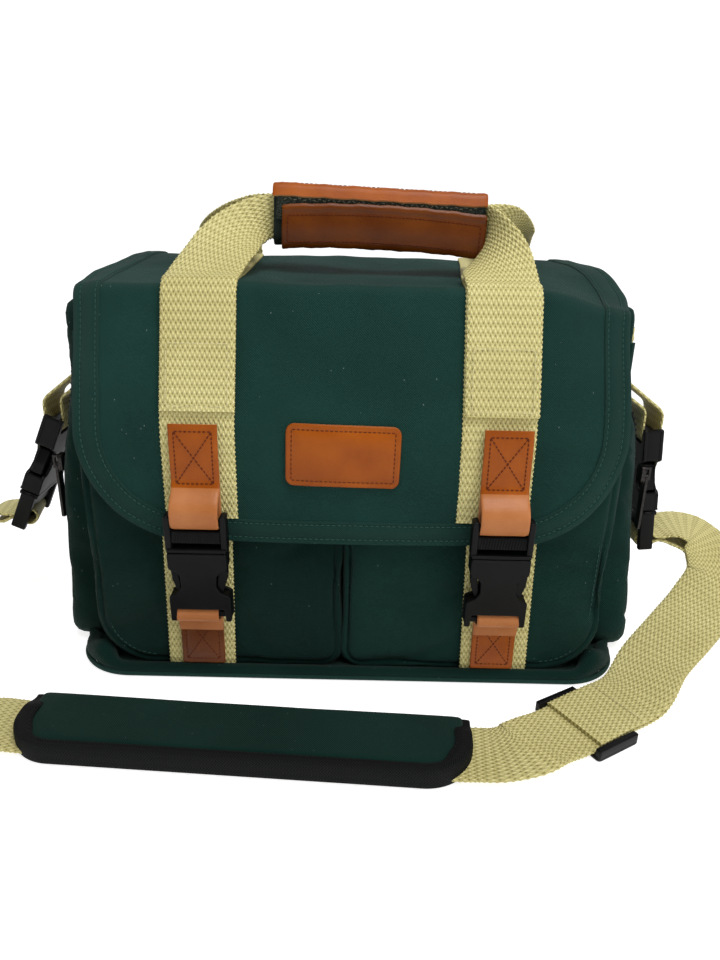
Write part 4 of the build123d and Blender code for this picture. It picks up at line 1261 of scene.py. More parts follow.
def make_front_pocket(side, sign):
    """A front pocket with its rolled edge, the seam round it and the webbing down its middle."""
    low, high = box(f"front_pocket_{side}")
    left_radius, right_radius = (26.0, 5.0) if sign < 0 else (5.0, 26.0)
    inset = 7.0
    left = even(side_chain(low[0] + inset, low[2] + inset, high[2], left_radius, 1.0, 2.0), 56)
    right = even(side_chain(high[0] - inset, low[2] + inset, high[2], right_radius, -1.0, 2.0), 56)
    front = low[1] + 0.6
    inner = high[0] if sign < 0 else low[0]

    def place(across, up, back):
        uneven = ripple(across, up, int(31 + sign), 55.0, 0.5)
        closing = 2.6 * smooth_step(132, 104, up) * np.exp(-(((across - inner) / 14) ** 2))
        return np.stack([across - sign * closing, front + back + uneven * (back < 1), up], -1)

    depth = high[1] - front - 0.2
    rings = [
        (0, 0), (1.2, 0.5), (1.8, 1.8), (2.5, 2.0), (3.2, 1.2), (4.6, 0.8), (6.0, 1.7), (6.8, 3.8),
        (inset, 7.5), (inset, 13.0), (inset, 18.5), (inset, depth),
    ]
    columns = 60
    # Each pocket takes its side's darker twill: painted shade, darker on the left, away from the lamps.
    pocket = tray(f"pocket_{side}", left, right, columns, rings, place, f"canvas_{side}")
    count = len(pocket.data.vertices)
    pinned = list(range(columns)) + list(range(count - pocket["last_ring"], count))
    web_low, web_high = box(f"pocket_webbing_{side}")
    for spot, vertex in enumerate(pocket.data.vertices):
        x = vertex.co.x / MM
        if web_low[0] < x < web_high[0] and vertex.co.y / MM < front + 3:
            pinned.append(spot)
    inflate(pocket, pinned, 1.6, 1.6, shrink=-0.012)
    modify(pocket, "SOLIDIFY", thickness=2.2 * MM, offset=-1.0)
    finish_piece(pocket, "root", "green_canvas", f"front_pocket_{side}")

    outer = left if sign < 0 else right
    line = outer[6:] + np.array([sign * 0.2, 0])
    run = np.stack([line[:, 0], np.full(len(line), front - 0.1), line[:, 1]], -1)
    stitches(f"pocket_seam_{side}", [run], "green_thread", "root", "green_canvas", 3.0, 2.0, 0.24)

    x_web = (web_low[0] + web_high[0]) / 2
    stations = [
        ((x_web - 1.5 * sign * (z - 80) / 80, web_low[1] + 1.05, z), (1, 0, 0), WEB_WIDTH)
        for z in np.linspace(web_low[2], web_high[2] - 1, 12)
    ]
    web = webbing(f"pocket_strap_{side}", stations)
    finish_piece(web, "root", "cream_webbing", f"pocket_webbing_{side}")


def pocket_depths(knots):
    """How far an end pocket stands out at each of the full heights, from (height, depth) knots."""
    heights, depths = np.array(knots, float).T
    return smooth_through(heights, depths[:, None], FULL_HEIGHTS)[:, 0]


SEAM_Z = 21.0               # seam across the foot of each end pocket
FULL_HEIGHTS = np.arange(0.0, 221.0, 10.0)
FULL_DEPTHS = {
    "left": pocket_depths([(0, 29), (12, 28.5), (60, 27), (95, 25), (120, 21.5), (150, 15), (220, 13)]),
    "right": pocket_depths([(0, 28), (20, 28.5), (50, 26.5), (95, 21), (120, 18.5), (150, 14), (220, 12)]),
}


def make_end_pocket(side, sign):
    """An end pocket, fullest at its foot, with its piping, foot seam, zip and buckle loop."""
    low, high = box(f"side_pocket_{side}")
    wall = low[0] if sign > 0 else high[0]
    depth = high[0] - low[0]
    inset = 6.0
    front, foot, top = low[1] + inset, low[2] + inset, high[2] - inset
    corners = [(low[1] + 20, top), (front, top), (front, foot), (low[1] + 20, foot)]
    front_chain = even(rounded_path(corners, [5.0, 9.0], 1.0), 60)
    back_chain = np.stack([low[1] + high[1] - front_chain[:, 0], front_chain[:, 1]], -1)

    zip_low, zip_high = box(f"side_zip_{side}")
    zip_y = (zip_low[1] + zip_high[1]) / 2
    pressed = 0.75 if sign > 0 else 0.15

    def place(across, up, back):
        uneven = ripple(across, up, int(50 + sign), 45.0, 0.7)
        about = (across - (low[1] + high[1]) / 2) / ((high[1] - low[1]) / 2)
        full = np.interp(up, FULL_HEIGHTS, FULL_DEPTHS[side])
        full = full * (1 - 0.12 * np.abs(about) ** 8)
        full = full * (1 - pressed * smooth_step(140, 175, up) * smooth_step(5, -40, across))
        seam = 0.9 * np.exp(-(((up - SEAM_Z) / 2.2) ** 2)) * (back < 1)
        out = full * (1 - back / depth) + uneven * (back < 1) - 0.4 - seam
        groove = np.exp(-(((across - zip_y) / 7.0) ** 2)) * (back < 1)
        out = out - np.maximum(out - depth + 0.6, 0) * groove
        forward = 6.0 * smooth_step(60, 5, up) * smooth_step(20, -50, across)
        droop = 3.2 * smooth_step(26, 8, up)
        return np.stack([wall + sign * out, across - forward, up - droop], -1)

    rings = [(0, 0), (2.6, 1.0), (4.6, 2.9), (5.7, 5.6), (inset, 9.0), (inset, 14.0), (inset, depth - 0.6)]
    chains = (front_chain, back_chain) if sign > 0 else (back_chain, front_chain)
    # The end pocket takes its side's darker twill: painted shade, darker on the left, away from the lamps.
    pocket = tray(f"end_pocket_{side}", *chains, 36, rings, place, f"canvas_{side}", closed_top=True)
    count = len(pocket.data.vertices)
    pinned = list(range(count - pocket["last_ring"], count))
    for spot, vertex in enumerate(pocket.data.vertices):
        if abs(vertex.co.y / MM - zip_y) < 8:
            pinned.append(spot)
    inflate(pocket, pinned, 1.6, 1.5, shrink=-0.015)
    modify(pocket, "SOLIDIFY", thickness=2.0 * MM, offset=-1.0)
    finish_piece(pocket, "root", "green_canvas", f"side_pocket_{side}")

    ring = np.concatenate([front_chain, back_chain[::-1], front_chain[:1]])
    line = np.stack([np.full(len(ring), wall + sign * 1.8), ring[:, 0], ring[:, 1]], -1)
    middle = line.mean(0)
    line[:, 1:] = middle[1:] + (line[:, 1:] - middle[1:]) * np.array([1.11, 1.07])
    made = round_cord(f"end_pocket_piping_{side}", line, 1.5, "binding")
    finish_piece(made, "root", "green_canvas")

    def face_at(y, z):
        """X of the pocket's outer face at one place."""
        return place(np.array([y]), np.array([z]), np.zeros(1))[0, 0]

    row = place(np.linspace(low[1] + 8, high[1] - 8, 60), np.full(60, SEAM_Z + 3.0), np.zeros(60))
    row[:, 0] += sign * 0.5
    stitches(f"end_pocket_seam_{side}", [row], "green_thread", "root", "green_canvas", 3.0, 2.0, 0.26)
    make_zip(side, sign, face_at)
    make_side_tab(side, sign, abs(face_at(0.0, 180.0)) + 1.4)


TOOTH_PITCH = 1.7
CHAIN_FACE_Y = -36.0        # where the pocket's face is measured for the teeth
ZIP_LIFT = 0.7              # height of the zip above the pocket's face


def make_zip(side, sign, face_at):
    """The two rows of teeth and the tapes that they stand on."""
    low, high = box(f"side_zip_{side}")
    y = (low[1] + high[1]) / 2
    points, faces = [], []

    def brick(corner, size):
        start = len(points)
        for dz in (0, size[2]):
            for dx, dy in ((0, 0), (size[0], 0), (size[0], size[1]), (0, size[1])):
                points.append((corner[0] + dx, corner[1] + dy, corner[2] + dz))
        for quad in ((3, 2, 1, 0), (4, 5, 6, 7), (0, 1, 5, 4), (1, 2, 6, 5), (2, 3, 7, 6), (3, 0, 4, 7)):
            order = quad if sign > 0 else quad[::-1]
            faces.append(tuple(start + corner_at for corner_at in order))

    for number in range(int((high[2] - low[2] - 8) / TOOTH_PITCH)):
        z = low[2] + 4 + number * TOOTH_PITCH
        lean = 0.5 if number % 2 else -1.9
        x = face_at(CHAIN_FACE_Y, z) + sign * (ZIP_LIFT + 0.3)
        brick((x, y + lean, z), (sign * 1.1, 1.4, 1.05))
    teeth = make_mesh(f"zip_chain_{side}", points, faces, ["zip_teeth"], sharp=30)
    finish_piece(teeth, "root", "black_zip", f"side_zip_{side}")
    for number, edge in enumerate((-1, 1)):
        middle = y + edge * 2.4
        stations = [
            ((face_at(middle, z) + sign * ZIP_LIFT, middle, z), (0, sign, 0), 3.2)
            for z in np.linspace(low[2], high[2], 24)
        ]
        outer, inner, uv = strap_surface(stations, 0.7, scallop=0.0, step=4.0)
        tape = closed_sheet(f"zip_tape_{side}_{number}", outer, inner, ["zip_tape"], uv)
        finish_piece(tape, "root", "black_zip")


def make_side_tab(side, sign, back_x):
    """The webbing loop that holds a side buckle, lying against the slack top of its end pocket."""
    bar = buckle_place("side", side)[0]
    x, z = abs(bar[0]), bar[2]
    path = [
        (back_x, 198.0), (back_x, 158.0), (x - 5.4, z + 15), (x - 5.2, z - 5.2), (x + 5.2, z - 5.2),
        (x + 5.4, z + 14), (back_x + 2.4, 164.0), (back_x + 2.2, 195.0),
    ]
    line = rounded_path(path, [6, 6, 4.6, 4.6, 8, 10], 2.0)
    stations = [((sign * px, bar[1], pz), (0, sign, 0), 31.5) for px, pz in line]
    tab = webbing(f"side_loop_{side}", stations)
    finish_piece(tab, "root", "cream_webbing", f"side_tab_{side}")
    face = back_x + 3.6
    corners = [(-14, 170), (14, 170), (14, 190), (-14, 190)]
    runs = []
    for first, last in ((0, 1), (1, 2), (2, 3), (3, 0), (0, 2), (3, 1)):
        line = resample(np.array([corners[first], corners[last]], float), 2.0)
        runs.append(np.stack([np.full(len(line), sign * face), bar[1] + line[:, 0], line[:, 1]], -1))
    stitches(f"side_loop_stitches_{side}", runs, "cream_thread", "root", "cream_webbing", 3.0, 2.2, 0.3)


# ------------------------------------------------------------------ inside
def make_inside():
    """The quilted liner, its two padded dividers and the base board's look."""
    low, high = box("padded_liner")
    wall = 7.0
    left = even(side_chain(low[0], low[2], high[2], 26.0, 1.0, 3.0), 48)
    right = left * np.array([-1, 1])
    depth = high[1] - low[1]

    def place(across, up, back):
        quilt = 0.9 * np.abs(np.sin(across * math.pi / 46)) * np.abs(np.sin(up * math.pi / 50))
        y = low[1] + back - np.where(back > depth / 2, quilt, -quilt)
        return np.stack([across, np.clip(y, low[1], high[1]), up], -1)

    rings = [(0, 0)] + [(0, step) for step in np.linspace(4, depth - 4, 12)] + [(0, depth)]
    liner = tray("quilted_liner", left, right, 56, rings, place, "lining")
    back = tray("liner_back", left, right, 56, [(0, depth), (0, depth)], place, "lining")
    join_and_flip(liner, back)
    modify(liner, "SOLIDIFY", thickness=(wall - 0.4) * MM, offset=-1.0)
    finish_piece(liner, "root", "grey_lining", "padded_liner")

    for side in SIDES:
        low, high = box(f"divider_{side}")
        made = soft_block(f"padded_divider_{side}", low + 1.0, high - 1.0, 4.0, "lining")
        inflate(made, [], 2.5, 2.0, frames=10)
        modify(made, "SUBSURF", levels=1, render_levels=1)
        keep_inside(made, low + 0.1, high - 0.1)
        finish_piece(made, f"divider_{side}", "grey_lining", f"divider_{side}")
    set_finish("base_board", "board")


BLOCK_EDGE = 3.0            # radius of a soft block's edges


def soft_block(name, low, high, spacing, material):
    """A block with rounded edges and evenly spaced points, ready to swell."""
    half = (high - low) / 2
    middle = (low + high) / 2
    counts = np.maximum((2 * half / spacing).astype(int), 2)
    points, faces = [], []
    for axis in range(3):
        first, second = [other for other in range(3) if other != axis]
        for end in (-1, 1):
            a = np.linspace(-1, 1, counts[first] + 1)
            b = np.linspace(-1, 1, counts[second] + 1)
            grid = np.zeros((len(b), len(a), 3))
            grid[..., first] = a[None, :]
            grid[..., second] = b[:, None]
            grid[..., axis] = end
            corner = np.clip(np.abs(grid) * half - (half - BLOCK_EDGE), 0, None)
            reach = np.linalg.norm(corner, axis=-1, keepdims=True)
            excess = np.maximum(reach - BLOCK_EDGE, 0) / np.maximum(reach, 1e-9)
            grid = grid * half - np.sign(grid) * corner * excess
            faces.extend(grid_faces(len(b), len(a), len(points), flip=(axis != 1) != (end > 0)))
            points.extend((grid + middle).reshape(-1, 3))
    made = make_mesh(name, points, faces, [material], sharp=180)
    welded = bmesh.new()
    welded.from_mesh(made.data)
    bmesh.ops.remove_doubles(welded, verts=welded.verts, dist=0.00005)
    bmesh.ops.recalc_face_normals(welded, faces=welded.faces)
    welded.to_mesh(made.data)
    welded.free()
    return made


def keep_inside(made, low, high):
    """Hold every point within a box."""
    move_points(made, np.clip(mesh_points(made), low, high))


# ------------------------------------------------------------------ buckles
def moulded(loops, low, high, bevel):
    """Points and faces of a plate with rounded edges, from outline and hole loops in X and Z."""
    curve = bpy.data.curves.new("outline", "CURVE")
    curve.dimensions = "2D"
    curve.fill_mode = "BOTH"
    curve.extrude = max((high - low) / 2 - bevel, 0.01)
    curve.bevel_depth = bevel
    curve.bevel_resolution = 2
    curve.offset = -bevel
    for loop in loops:
        spline = curve.splines.new("POLY")
        spline.points.add(len(loop) - 1)
        for point, (x, z) in zip(spline.points, loop):
            point.co = (x, z, 0, 1)
        spline.use_cyclic_u = True
    holder = bpy.data.objects.new("outline", curve)
    bpy.context.scene.collection.objects.link(holder)
    bpy.context.view_layer.update()
    graph = bpy.context.evaluated_depsgraph_get()
    mesh = bpy.data.meshes.new_from_object(holder.evaluated_get(graph))
    points = np.array([vertex.co for vertex in mesh.vertices], float).reshape(-1, 3)
    faces = [tuple(polygon.vertices) for polygon in mesh.polygons]
    bpy.data.objects.remove(holder)
    bpy.data.curves.remove(curve)
    bpy.data.meshes.remove(mesh)
    points = np.stack([points[:, 0], -points[:, 2] + (low + high) / 2, points[:, 1]], -1)
    return points, faces


def rounded_loop(corners):
    """A closed outline from (x, z, radius) corners."""
    points = []
    count = len(corners)
    for index in range(count):
        trio = [corners[(index + shift) % count] for shift in (-1, 0, 1)]
        radius = trio[1][2]
        if radius <= 0:
            points.append(trio[1][:2])
            continue
        middles = [
            ((trio[0][0] + trio[1][0]) / 2, (trio[0][1] + trio[1][1]) / 2),
            trio[1][:2],
            ((trio[1][0] + trio[2][0]) / 2, (trio[1][1] + trio[2][1]) / 2),
        ]
        path = rounded_path(middles, [radius], 0.5)
        points.extend(map(tuple, path[1:-1]))
    return points


def mirrored(half):
    """A closed outline from the corners of its right half, listed from top to bottom."""
    return half + [(-x, z, radius) for x, z, radius in reversed(half)]


def crossbar(half, first, last, radius):
    """A rounded rectangle as wide on both sides, from one height to another."""
    return rounded_loop(mirrored([(half, first, radius), (half, last, radius)]))


def mirror(sign, corners):
    """The same (x, z, radius) corners, on the other side when the sign is negative."""
    return rounded_loop([(sign * x, z, radius) for x, z, radius in corners])


def assemble(name, plates, bar, axes, size):
    """Join plates built in the buckle's own axes and put them in place."""
    points, faces = [], []
    for plate_points, plate_faces in plates:
        start = len(points)
        points.extend(plate_points)
        faces.extend(tuple(corner + start for corner in face) for face in plate_faces)
    points = bar + (np.array(points) * size) @ axes.T
    return make_mesh(name, points, faces, ["plastic"], sharp=35)


def socket_plates():
    """The receiving half: two plates joined by side walls, with a bar at the origin."""
    half = [
        (15.7, 39.0, 1.0), (15.7, 30.2, 1.4), (14.4, 28.7, 0.6), (12.0, 28.2, 1.0), (9.7, 25.2, 2.0),
        (9.4, 18.5, 3.0), (11.6, 14.9, 2.2), (16.5, 12.4, 1.4), (16.5, -3.2, 1.0), (13.4, -3.2, 0.8),
        (13.0, 4.4, 1.0),
    ]
    outline = rounded_loop(mirrored(half))
    plates = [moulded([outline], -4.7, -2.9, 0.45), moulded([outline], 2.9, 4.7, 0.45)]
    wall = [(13.7, 29.2, 0.3), (15.6, 29.8, 0.3), (15.6, 38.8, 0.4), (13.7, 38.8, 0.3)]
    leg = [
        (13.2, -3.0, 0.6), (16.3, -3.0, 0.6), (16.3, 12.4, 0.8), (10.0, 13.4, 0.8),
        (10.0, 5.0, 0.6), (13.2, 4.6, 0.6),
    ]
    for sign in (-1, 1):
        plates.append(moulded([mirror(sign, wall)], -4.4, 4.4, 0.25))
        plates.append(moulded([mirror(sign, leg)], -4.2, 4.2, 0.4))
    rib = crossbar(10.2, 6.6, 13.6, 0.4)
    bar = crossbar(13.6, 1.9, -1.9, 0.6)
    lip = crossbar(15.2, 38.9, 37.9, 0.3)
    plates.append(moulded([rib], -4.2, 4.2, 0.4))
    plates.append(moulded([bar], -2.0, 2.0, 0.8))
    plates.append(moulded([lip], -5.05, -4.5, 0.2))
    return plates


GRIP_FOOT = 44.6            # lower edge of the plug's ribbed grip, which leans forward as it rises
GRIP_LEAN = 0.22


def leaning(plate):
    """A plate of the grip, leaned forward."""
    points, faces = plate
    points[:, 1] += (points[:, 2] - GRIP_FOOT) * GRIP_LEAN
    return points, faces


def plug_plates():
    """The ladder-lock half: collar, two cheeks, a ribbed grip bar and an end bar."""
    outer = [(16.2, 39.4, 0.8), (16.2, 60.6, 1.6), (13.0, 60.6, 1.0), (12.8, 57.6, 0.8)]
    outline = rounded_loop(mirrored(outer))
    slot = crossbar(12.8, 44.4, 41.3, 0.7)
    upper = crossbar(12.8, 54.0, 51.3, 0.6)
    plates = [moulded([outline, slot, upper], -1.6, 1.6, 0.5)]
    cheek = [(12.9, 40.0, 0.5), (16.3, 40.0, 0.5), (16.3, 60.4, 1.2), (12.9, 60.4, 0.9)]
    for sign in (-1, 1):
        plates.append(moulded([mirror(sign, cheek)], -3.5, 3.5, 0.7))
    collar = crossbar(15.6, 39.4, 41.4, 0.3)
    grip = crossbar(12.9, GRIP_FOOT, 51.2, 0.4)
    plates.append(moulded([collar], -4.5, 4.5, 0.4))
    plates.append(leaning(moulded([grip], -3.2, -0.6, 0.4)))
    for number in range(17):
        x = -12.0 + number * 1.5
        rib = [(x, 45.0), (x + 0.75, 45.0), (x + 2.15, 50.8), (x + 1.4, 50.8)]
        rib = [(min(px, 12.5), pz) for px, pz in rib]
        plates.append(leaning(moulded([rib], -3.65, -2.6, 0.12)))
    tongue = rounded_loop(mirrored([(2.4, 15.2, 1.5), (2.4, 39.6, 0.3)]))
    plates.append(moulded([tongue], -1.6, 1.6, 0.4))
    return plates


def prong_plates(sign):
    """A springy arm with its finger pad, which fills the side window of the socket."""
    arm = [
        (9.0, 39.2, 0.2), (11.3, 39.2, 0.2), (11.3, 28.9, 0.4), (14.9, 28.1, 0.5), (14.5, 22.5, 6.0),
        (12.2, 15.0, 0.8), (10.2, 14.9, 0.8), (10.2, 20.0, 3.0), (11.2, 26.0, 1.2), (9.0, 29.0, 1.0),
    ]
    return [moulded([mirror(sign, arm)], -2.6, 2.6, 0.4)]


def make_buckles():
    """The four side-release buckles, each a socket, a plug and two spring arms."""
    for kind in ("front", "side"):
        for side in SIDES:
            bar, axes, size = buckle_place(kind, side)
            plug_body = "flap" if kind == "front" else "root"
            socket = assemble(f"{kind}_socket_{side}", socket_plates(), bar, axes, size)
            finish_piece(socket, "root", "black_plastic", f"{kind}_buckle_socket_{side}")
            plug = assemble(f"{kind}_plug_{side}", plug_plates(), bar, axes, size)
            finish_piece(plug, plug_body, "black_plastic", f"{kind}_buckle_plug_{side}")
            for prong, sign in (("a", -1.0), ("b", 1.0)):
                name = f"{kind}_prong_{prong}_{side}"
                made = assemble(f"{kind}_finger_{prong}_{side}", prong_plates(sign), bar, axes, size)
                finish_piece(made, name, "black_plastic", f"{kind}_buckle_prong_{prong}_{side}")


# ------------------------------------------------------------------ carry handle
GRIP_X, GRIP_Y, GRIP_LOW = 12.0, -6.0, 234.0    # its lower middle
GRIP_HALF = 59.5
GRIP_TALL = 31.0
GRIP_DEEP = 9.0             # half its thickness from front to back
GRIP_TILT = math.radians(2.0)


def grip_place(points):
    """Points given about the grip's lower middle, tilted and put in place."""
    x, y, z = np.moveaxis(np.asarray(points, float), -1, 0)
    return np.stack([
        GRIP_X + x * math.cos(GRIP_TILT) + z * math.sin(GRIP_TILT),
        GRIP_Y + y,
        GRIP_LOW + z * math.cos(GRIP_TILT) - x * math.sin(GRIP_TILT),
    ], -1)


def grip_strip(name, path, radii, half, thick, material, edge="leather_edge", bow=0.0):
    """A strip about as long as the grip that follows a path in Y and Z round it, bowed upward."""
    line = rounded_path(path, radii, 1.0)
    travel = travel_along(line)
    along = unit(np.gradient(line, travel, axis=0))
    normal = np.stack([along[:, 1], -along[:, 0]], -1)
    share = np.concatenate([[-1, -0.996, -0.985], np.linspace(-0.965, 0.965, 45), [0.985, 0.996, 1]])
    thin = thick / 2 * np.sqrt(1 - np.minimum(np.abs(share), 0.9995) ** 160)
    bend = bow * (1 - share ** 2) + 0.18 * np.sin(share * 21) + 0.12 * np.sin(share * 47 + 1)
    grids = []
    for way in (-1, 1):
        y = line[:, 0, None] + normal[:, 0, None] * way * thin[None, :]
        z = line[:, 1, None] + normal[:, 1, None] * way * thin[None, :] + bend[None, :]
        x = np.broadcast_to(share[None, :] * half, y.shape)
        grids.append(grip_place(np.stack([x, y, z], -1)))
    uv = fabric(share * half, travel[:, None])
    return closed_sheet(name, *grids, [material, edge], uv, rim_slot=1)


def make_grip():
    """The grip's cloth sleeve, its rear leather and the hook tape on its front."""
    deep = GRIP_DEEP
    path = [
        (-deep + 4, 1.0), (deep - 1.0, 1.0), (deep - 1.0, 29.6),
        (-deep + 1.0, 29.6), (-deep + 1.0, 1.0), (-deep + 5, 1.0),
    ]
    sleeve = grip_strip("grip_cloth", path, [5, 5, 5, 5], GRIP_HALF - 1, 2.0, "dark_cloth", "dark_cloth")
    finish_piece(sleeve, "grip", "dark_fabric", "grip_sleeve")

    path = [(deep + 0.9, 3.0), (deep + 1.0, 31.6), (-deep + 0.4, 32.2), (-deep - 2.3, 26.0)]
    rear = grip_strip("grip_rear_leather", path, [4.5, 3.2], GRIP_HALF - 0.5, 1.7, "leather")
    rear.data.flip_normals()
    finish_piece(rear, "grip", "tan_leather", "grip_leather_rear")

    path = [(-deep - 0.6, 14.0), (-deep - 0.6, 28.5)]
    hook = grip_strip("grip_hook_tape", path, [], GRIP_HALF - 2.5, 1.1, "hook", "hook")
    finish_piece(hook, "grip", "dark_fabric", "grip_hook_strip")
    across = np.arange(-GRIP_HALF + 6, GRIP_HALF - 5, 0.5)
    zigzag = grip_place([(x, -deep - 1.25, 24.6 + 0.8 * math.sin(x * 1.1)) for x in across])
    stitches("grip_hook_stitches", [zigzag], "dull_thread", "grip", "dark_fabric", 3.1, 2.0, 0.24)
    row = grip_place([(x, -deep + 5.0, 32.9) for x in np.arange(-GRIP_HALF + 4, GRIP_HALF - 3, 1.0)])
    stitches("grip_rear_stitches", [row], "brown_thread", "grip", "tan_leather", 2.6, 1.8, 0.28)


def make_grip_panel():
    """The front leather that closes over the hook tape, bowed upward and puckered by its seams."""
    low, high = box("grip_leather_front")
    half = (high[0] - low[0]) / 2
    shift = (high[0] + low[0]) / 2 - GRIP_X
    front = -GRIP_DEEP - 3.7
    path = [
        (front + 1.7, 14.0), (front + 1.7, 20.4), (front - 0.2, 21.8), (front - 0.8, 19.0),
        (front - 0.1, 17.0), (front - 0.9, 9.0), (front + 0.2, 1.0), (front + 1.0, -1.3), (front + 2.4, -1.1),
    ]
    radii = [1.2, 1.1, 1.4, 2.0, 30.0, 2.0, 0.6]
    bow = 2.4
    panel = grip_strip("grip_front_leather", path, radii, half, 1.3, "leather_dark", bow=bow)
    panel.data.flip_normals()
    panel.data.transform(Matrix.Translation((shift * MM, 0, 0)))
    finish_piece(panel, "grip_panel", "tan_leather", "grip_leather_front")

    w, foot, top = half - 3.2, 1.8, 15.8
    face = front - 0.75
    seams = (((-w, top), (w, top)), ((-w, foot), (w, foot)), ((-w, foot), (-w, top)), ((w, foot), (w, top)))
    rows = []
    for first, last in seams:
        line = resample(np.array([first, last], float), 1.0)
        bulge = 0.75 * (1 - np.minimum(((line[:, 1] - 9.0) / 8.0) ** 2, 1.3))
        rise = bow * (1 - (line[:, 0] / half) ** 2)
        rows.append(grip_place(np.stack([line[:, 0] + shift, face - bulge, line[:, 1] + rise], -1)))
    stitches("grip_panel_stitches", rows, "brown_thread", "grip_panel", "tan_leather", 2.3, 1.7, 0.34)


HANDLE_START = 158.0 - FLAP_LOW     # how far up the flap the handle's webbing begins
HANDLE_LIFT = WEB_LIFT + 2.1


def handle_on_flap(sign):
    """Stations of the handle's webbing where it is sewn to the flap's own."""
    return flap_stations(sign * WEB_X - 1.0, HANDLE_START, CREST_AT + 8, HANDLE_LIFT)


def handle_in_grip(y, way):
    """Stations of the handle's webbing, gathered flat inside the grip."""
    middle_z = GRIP_LOW + GRIP_TALL / 2
    return [
        ((x, y, middle_z - (x - GRIP_X) * math.sin(GRIP_TILT)), (0, 0, way), 23)
        for x in (-42, -15, 15, 45, 62)
    ]


def make_handle():
    """Two webbing loops, up into the grip and down again: one from the flap's front, one from its back."""
    left = handle_on_flap(-1.0) + [
        ((-77.6, -54, 223.6), (1.0, -0.02, -0.02), 38),
        ((-74.5, -42, 230.0), (0.97, -0.20, -0.12), 37.5),
        ((-70.0, -31, 237.0), (0.82, -0.42, -0.40), 36),
        ((-65.5, -23, 242.0), (0.52, -0.50, -0.70), 31),
        ((-60.0, -16, 246.5), (0.30, -0.35, -0.89), 26),
        ((-52.5, -11, 249.8), (0.12, -0.06, -0.99), 23.5),
    ]
    right = [
        ((71.0, -9.0, 247.6), (-0.05, 0.05, -0.99), 23.5),
        ((73.5, -13.5, 246.6), (-0.15, 0.35, -0.92), 24),
        ((74.0, -21.0, 243.0), (-0.35, 0.60, -0.72), 28),
        ((74.5, -30.5, 237.0), (-0.72, 0.50, -0.48), 33),
        ((75.2, -41.5, 230.2), (-0.94, 0.25, -0.20), 37),
        ((76.0, -53.5, 223.8), (-1.0, 0.02, -0.02), 38),
    ] + [(point, (-1, 0, 0), width) for point, _, width in reversed(handle_on_flap(1.0))]
    loop = webbing("handle_strap_front", left + handle_in_grip(-8.4, -1) + right)
    finish_handle(loop, "handle_front_loop")

    back = FLAP_BACK + 1.3
    left = [
        ((-84, back, 214), (-1, 0, 0), 38), ((-84, back, 224), (-1, 0, 0), 38),
        ((-84.5, back - 1.5, 231.5), (-1, 0, 0), 38), ((-84.5, back - 9, 237.5), (-0.99, -0.05, 0.05), 38),
        ((-82, 50, 240.5), (-0.97, -0.12, 0.12), 38), ((-75, 30, 243.5), (-0.88, -0.2, 0.38), 35),
        ((-63, 11, 247.5), (-0.55, -0.15, 0.80), 29), ((-52, -1.0, 250.8), (-0.12, 0, 0.99), 24),
    ]
    right = [
        ((76, -1.5, 247.6), (0.1, 0, 0.99), 24), ((84, 8, 247), (0.5, -0.1, 0.86), 28),
        ((90, 28, 245), (0.85, -0.2, 0.45), 33), ((94.5, 48, 242.5), (0.97, -0.15, 0.15), 37),
        ((97, back - 10, 238.5), (0.99, -0.05, 0.05), 38), ((98, back - 1.2, 233), (1, 0, 0), 38),
        ((98, back, 224), (1, 0, 0), 38), ((98, back, 214), (1, 0, 0), 38),
    ]
    loop = webbing("handle_strap_rear", left + handle_in_grip(-3.6, 1) + right)
    finish_handle(loop, "handle_rear_loop")
    for side, sign in SIDES.items():
        x = sign * WEB_X - 1.0
        foot, top = HANDLE_START + 2.5, HANDLE_START + 34
        face = HANDLE_LIFT + WEB_THICK / 2
        runs = [flap_surface(x + across, np.linspace(foot, top, 30), face) for across in (-15.5, 15.5)]
        runs += [flap_surface(x + np.linspace(-15.5, 15.5, 20), height, face) for height in (foot, top)]
        stitches(f"handle_stitches_{side}", runs, "cream_thread", "flap", "cream_webbing", 3.0, 2.2, 0.28)


def finish_handle(loop, node):
    """Hide the CAD node of a loop of the handle and bake the loop's placement into its points."""
    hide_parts(node)
    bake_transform(loop)


# ------------------------------------------------------------------ shoulder strap
STRAP_Z = 3.7                                   # middle of the webbing above the floor
SLIDER_AT = np.array([127.0, -126.0])
SLIDER_TO_PAD = np.array([-0.8572, -0.5150])    # unit direction on the floor
PAD_MIDDLE = np.array([-52.0, -145.0])
PAD_TURN = math.radians(-3.45)
PAD_LENGTH, PAD_WIDTH = 232.0, 46.0
PAD_LOW, PAD_THICK = 0.2, 10.8


def along_slider(distance, z=STRAP_Z):
    """A point on the strap, measured from the slider towards the pad."""
    return (*(SLIDER_AT + SLIDER_TO_PAD * distance), z)


def along_pad(distance, z=STRAP_Z):
    """A point on the strap, measured from the pad's middle to its right."""
    return (*(PAD_MIDDLE + distance * np.array([math.cos(PAD_TURN), math.sin(PAD_TURN)])), z)


def doubled(stations, bar):
    """Webbing that runs to a bar, round it and back: stations are listed from the bar outwards."""
    centres, across, face, widths, travel = strap_frames(stations, 9.0)
    spread = (1.05 + 3.0 * np.sin(math.pi * np.clip(travel / 36.0, 0, 1)))[:, None]
    out = list(zip(centres + face * spread, across, widths))
    home = list(zip(centres - face * spread, across, widths))
    along = np.cross(face[0], across[0])
    loop = []
    for angle in np.radians((20, 55, 90, 125, 160)):
        spot = bar - 4.9 * (face[0] * math.cos(angle) + along * math.sin(angle))
        loop.append((spot, across[0], widths[0]))
    return home[::-1] + loop + out


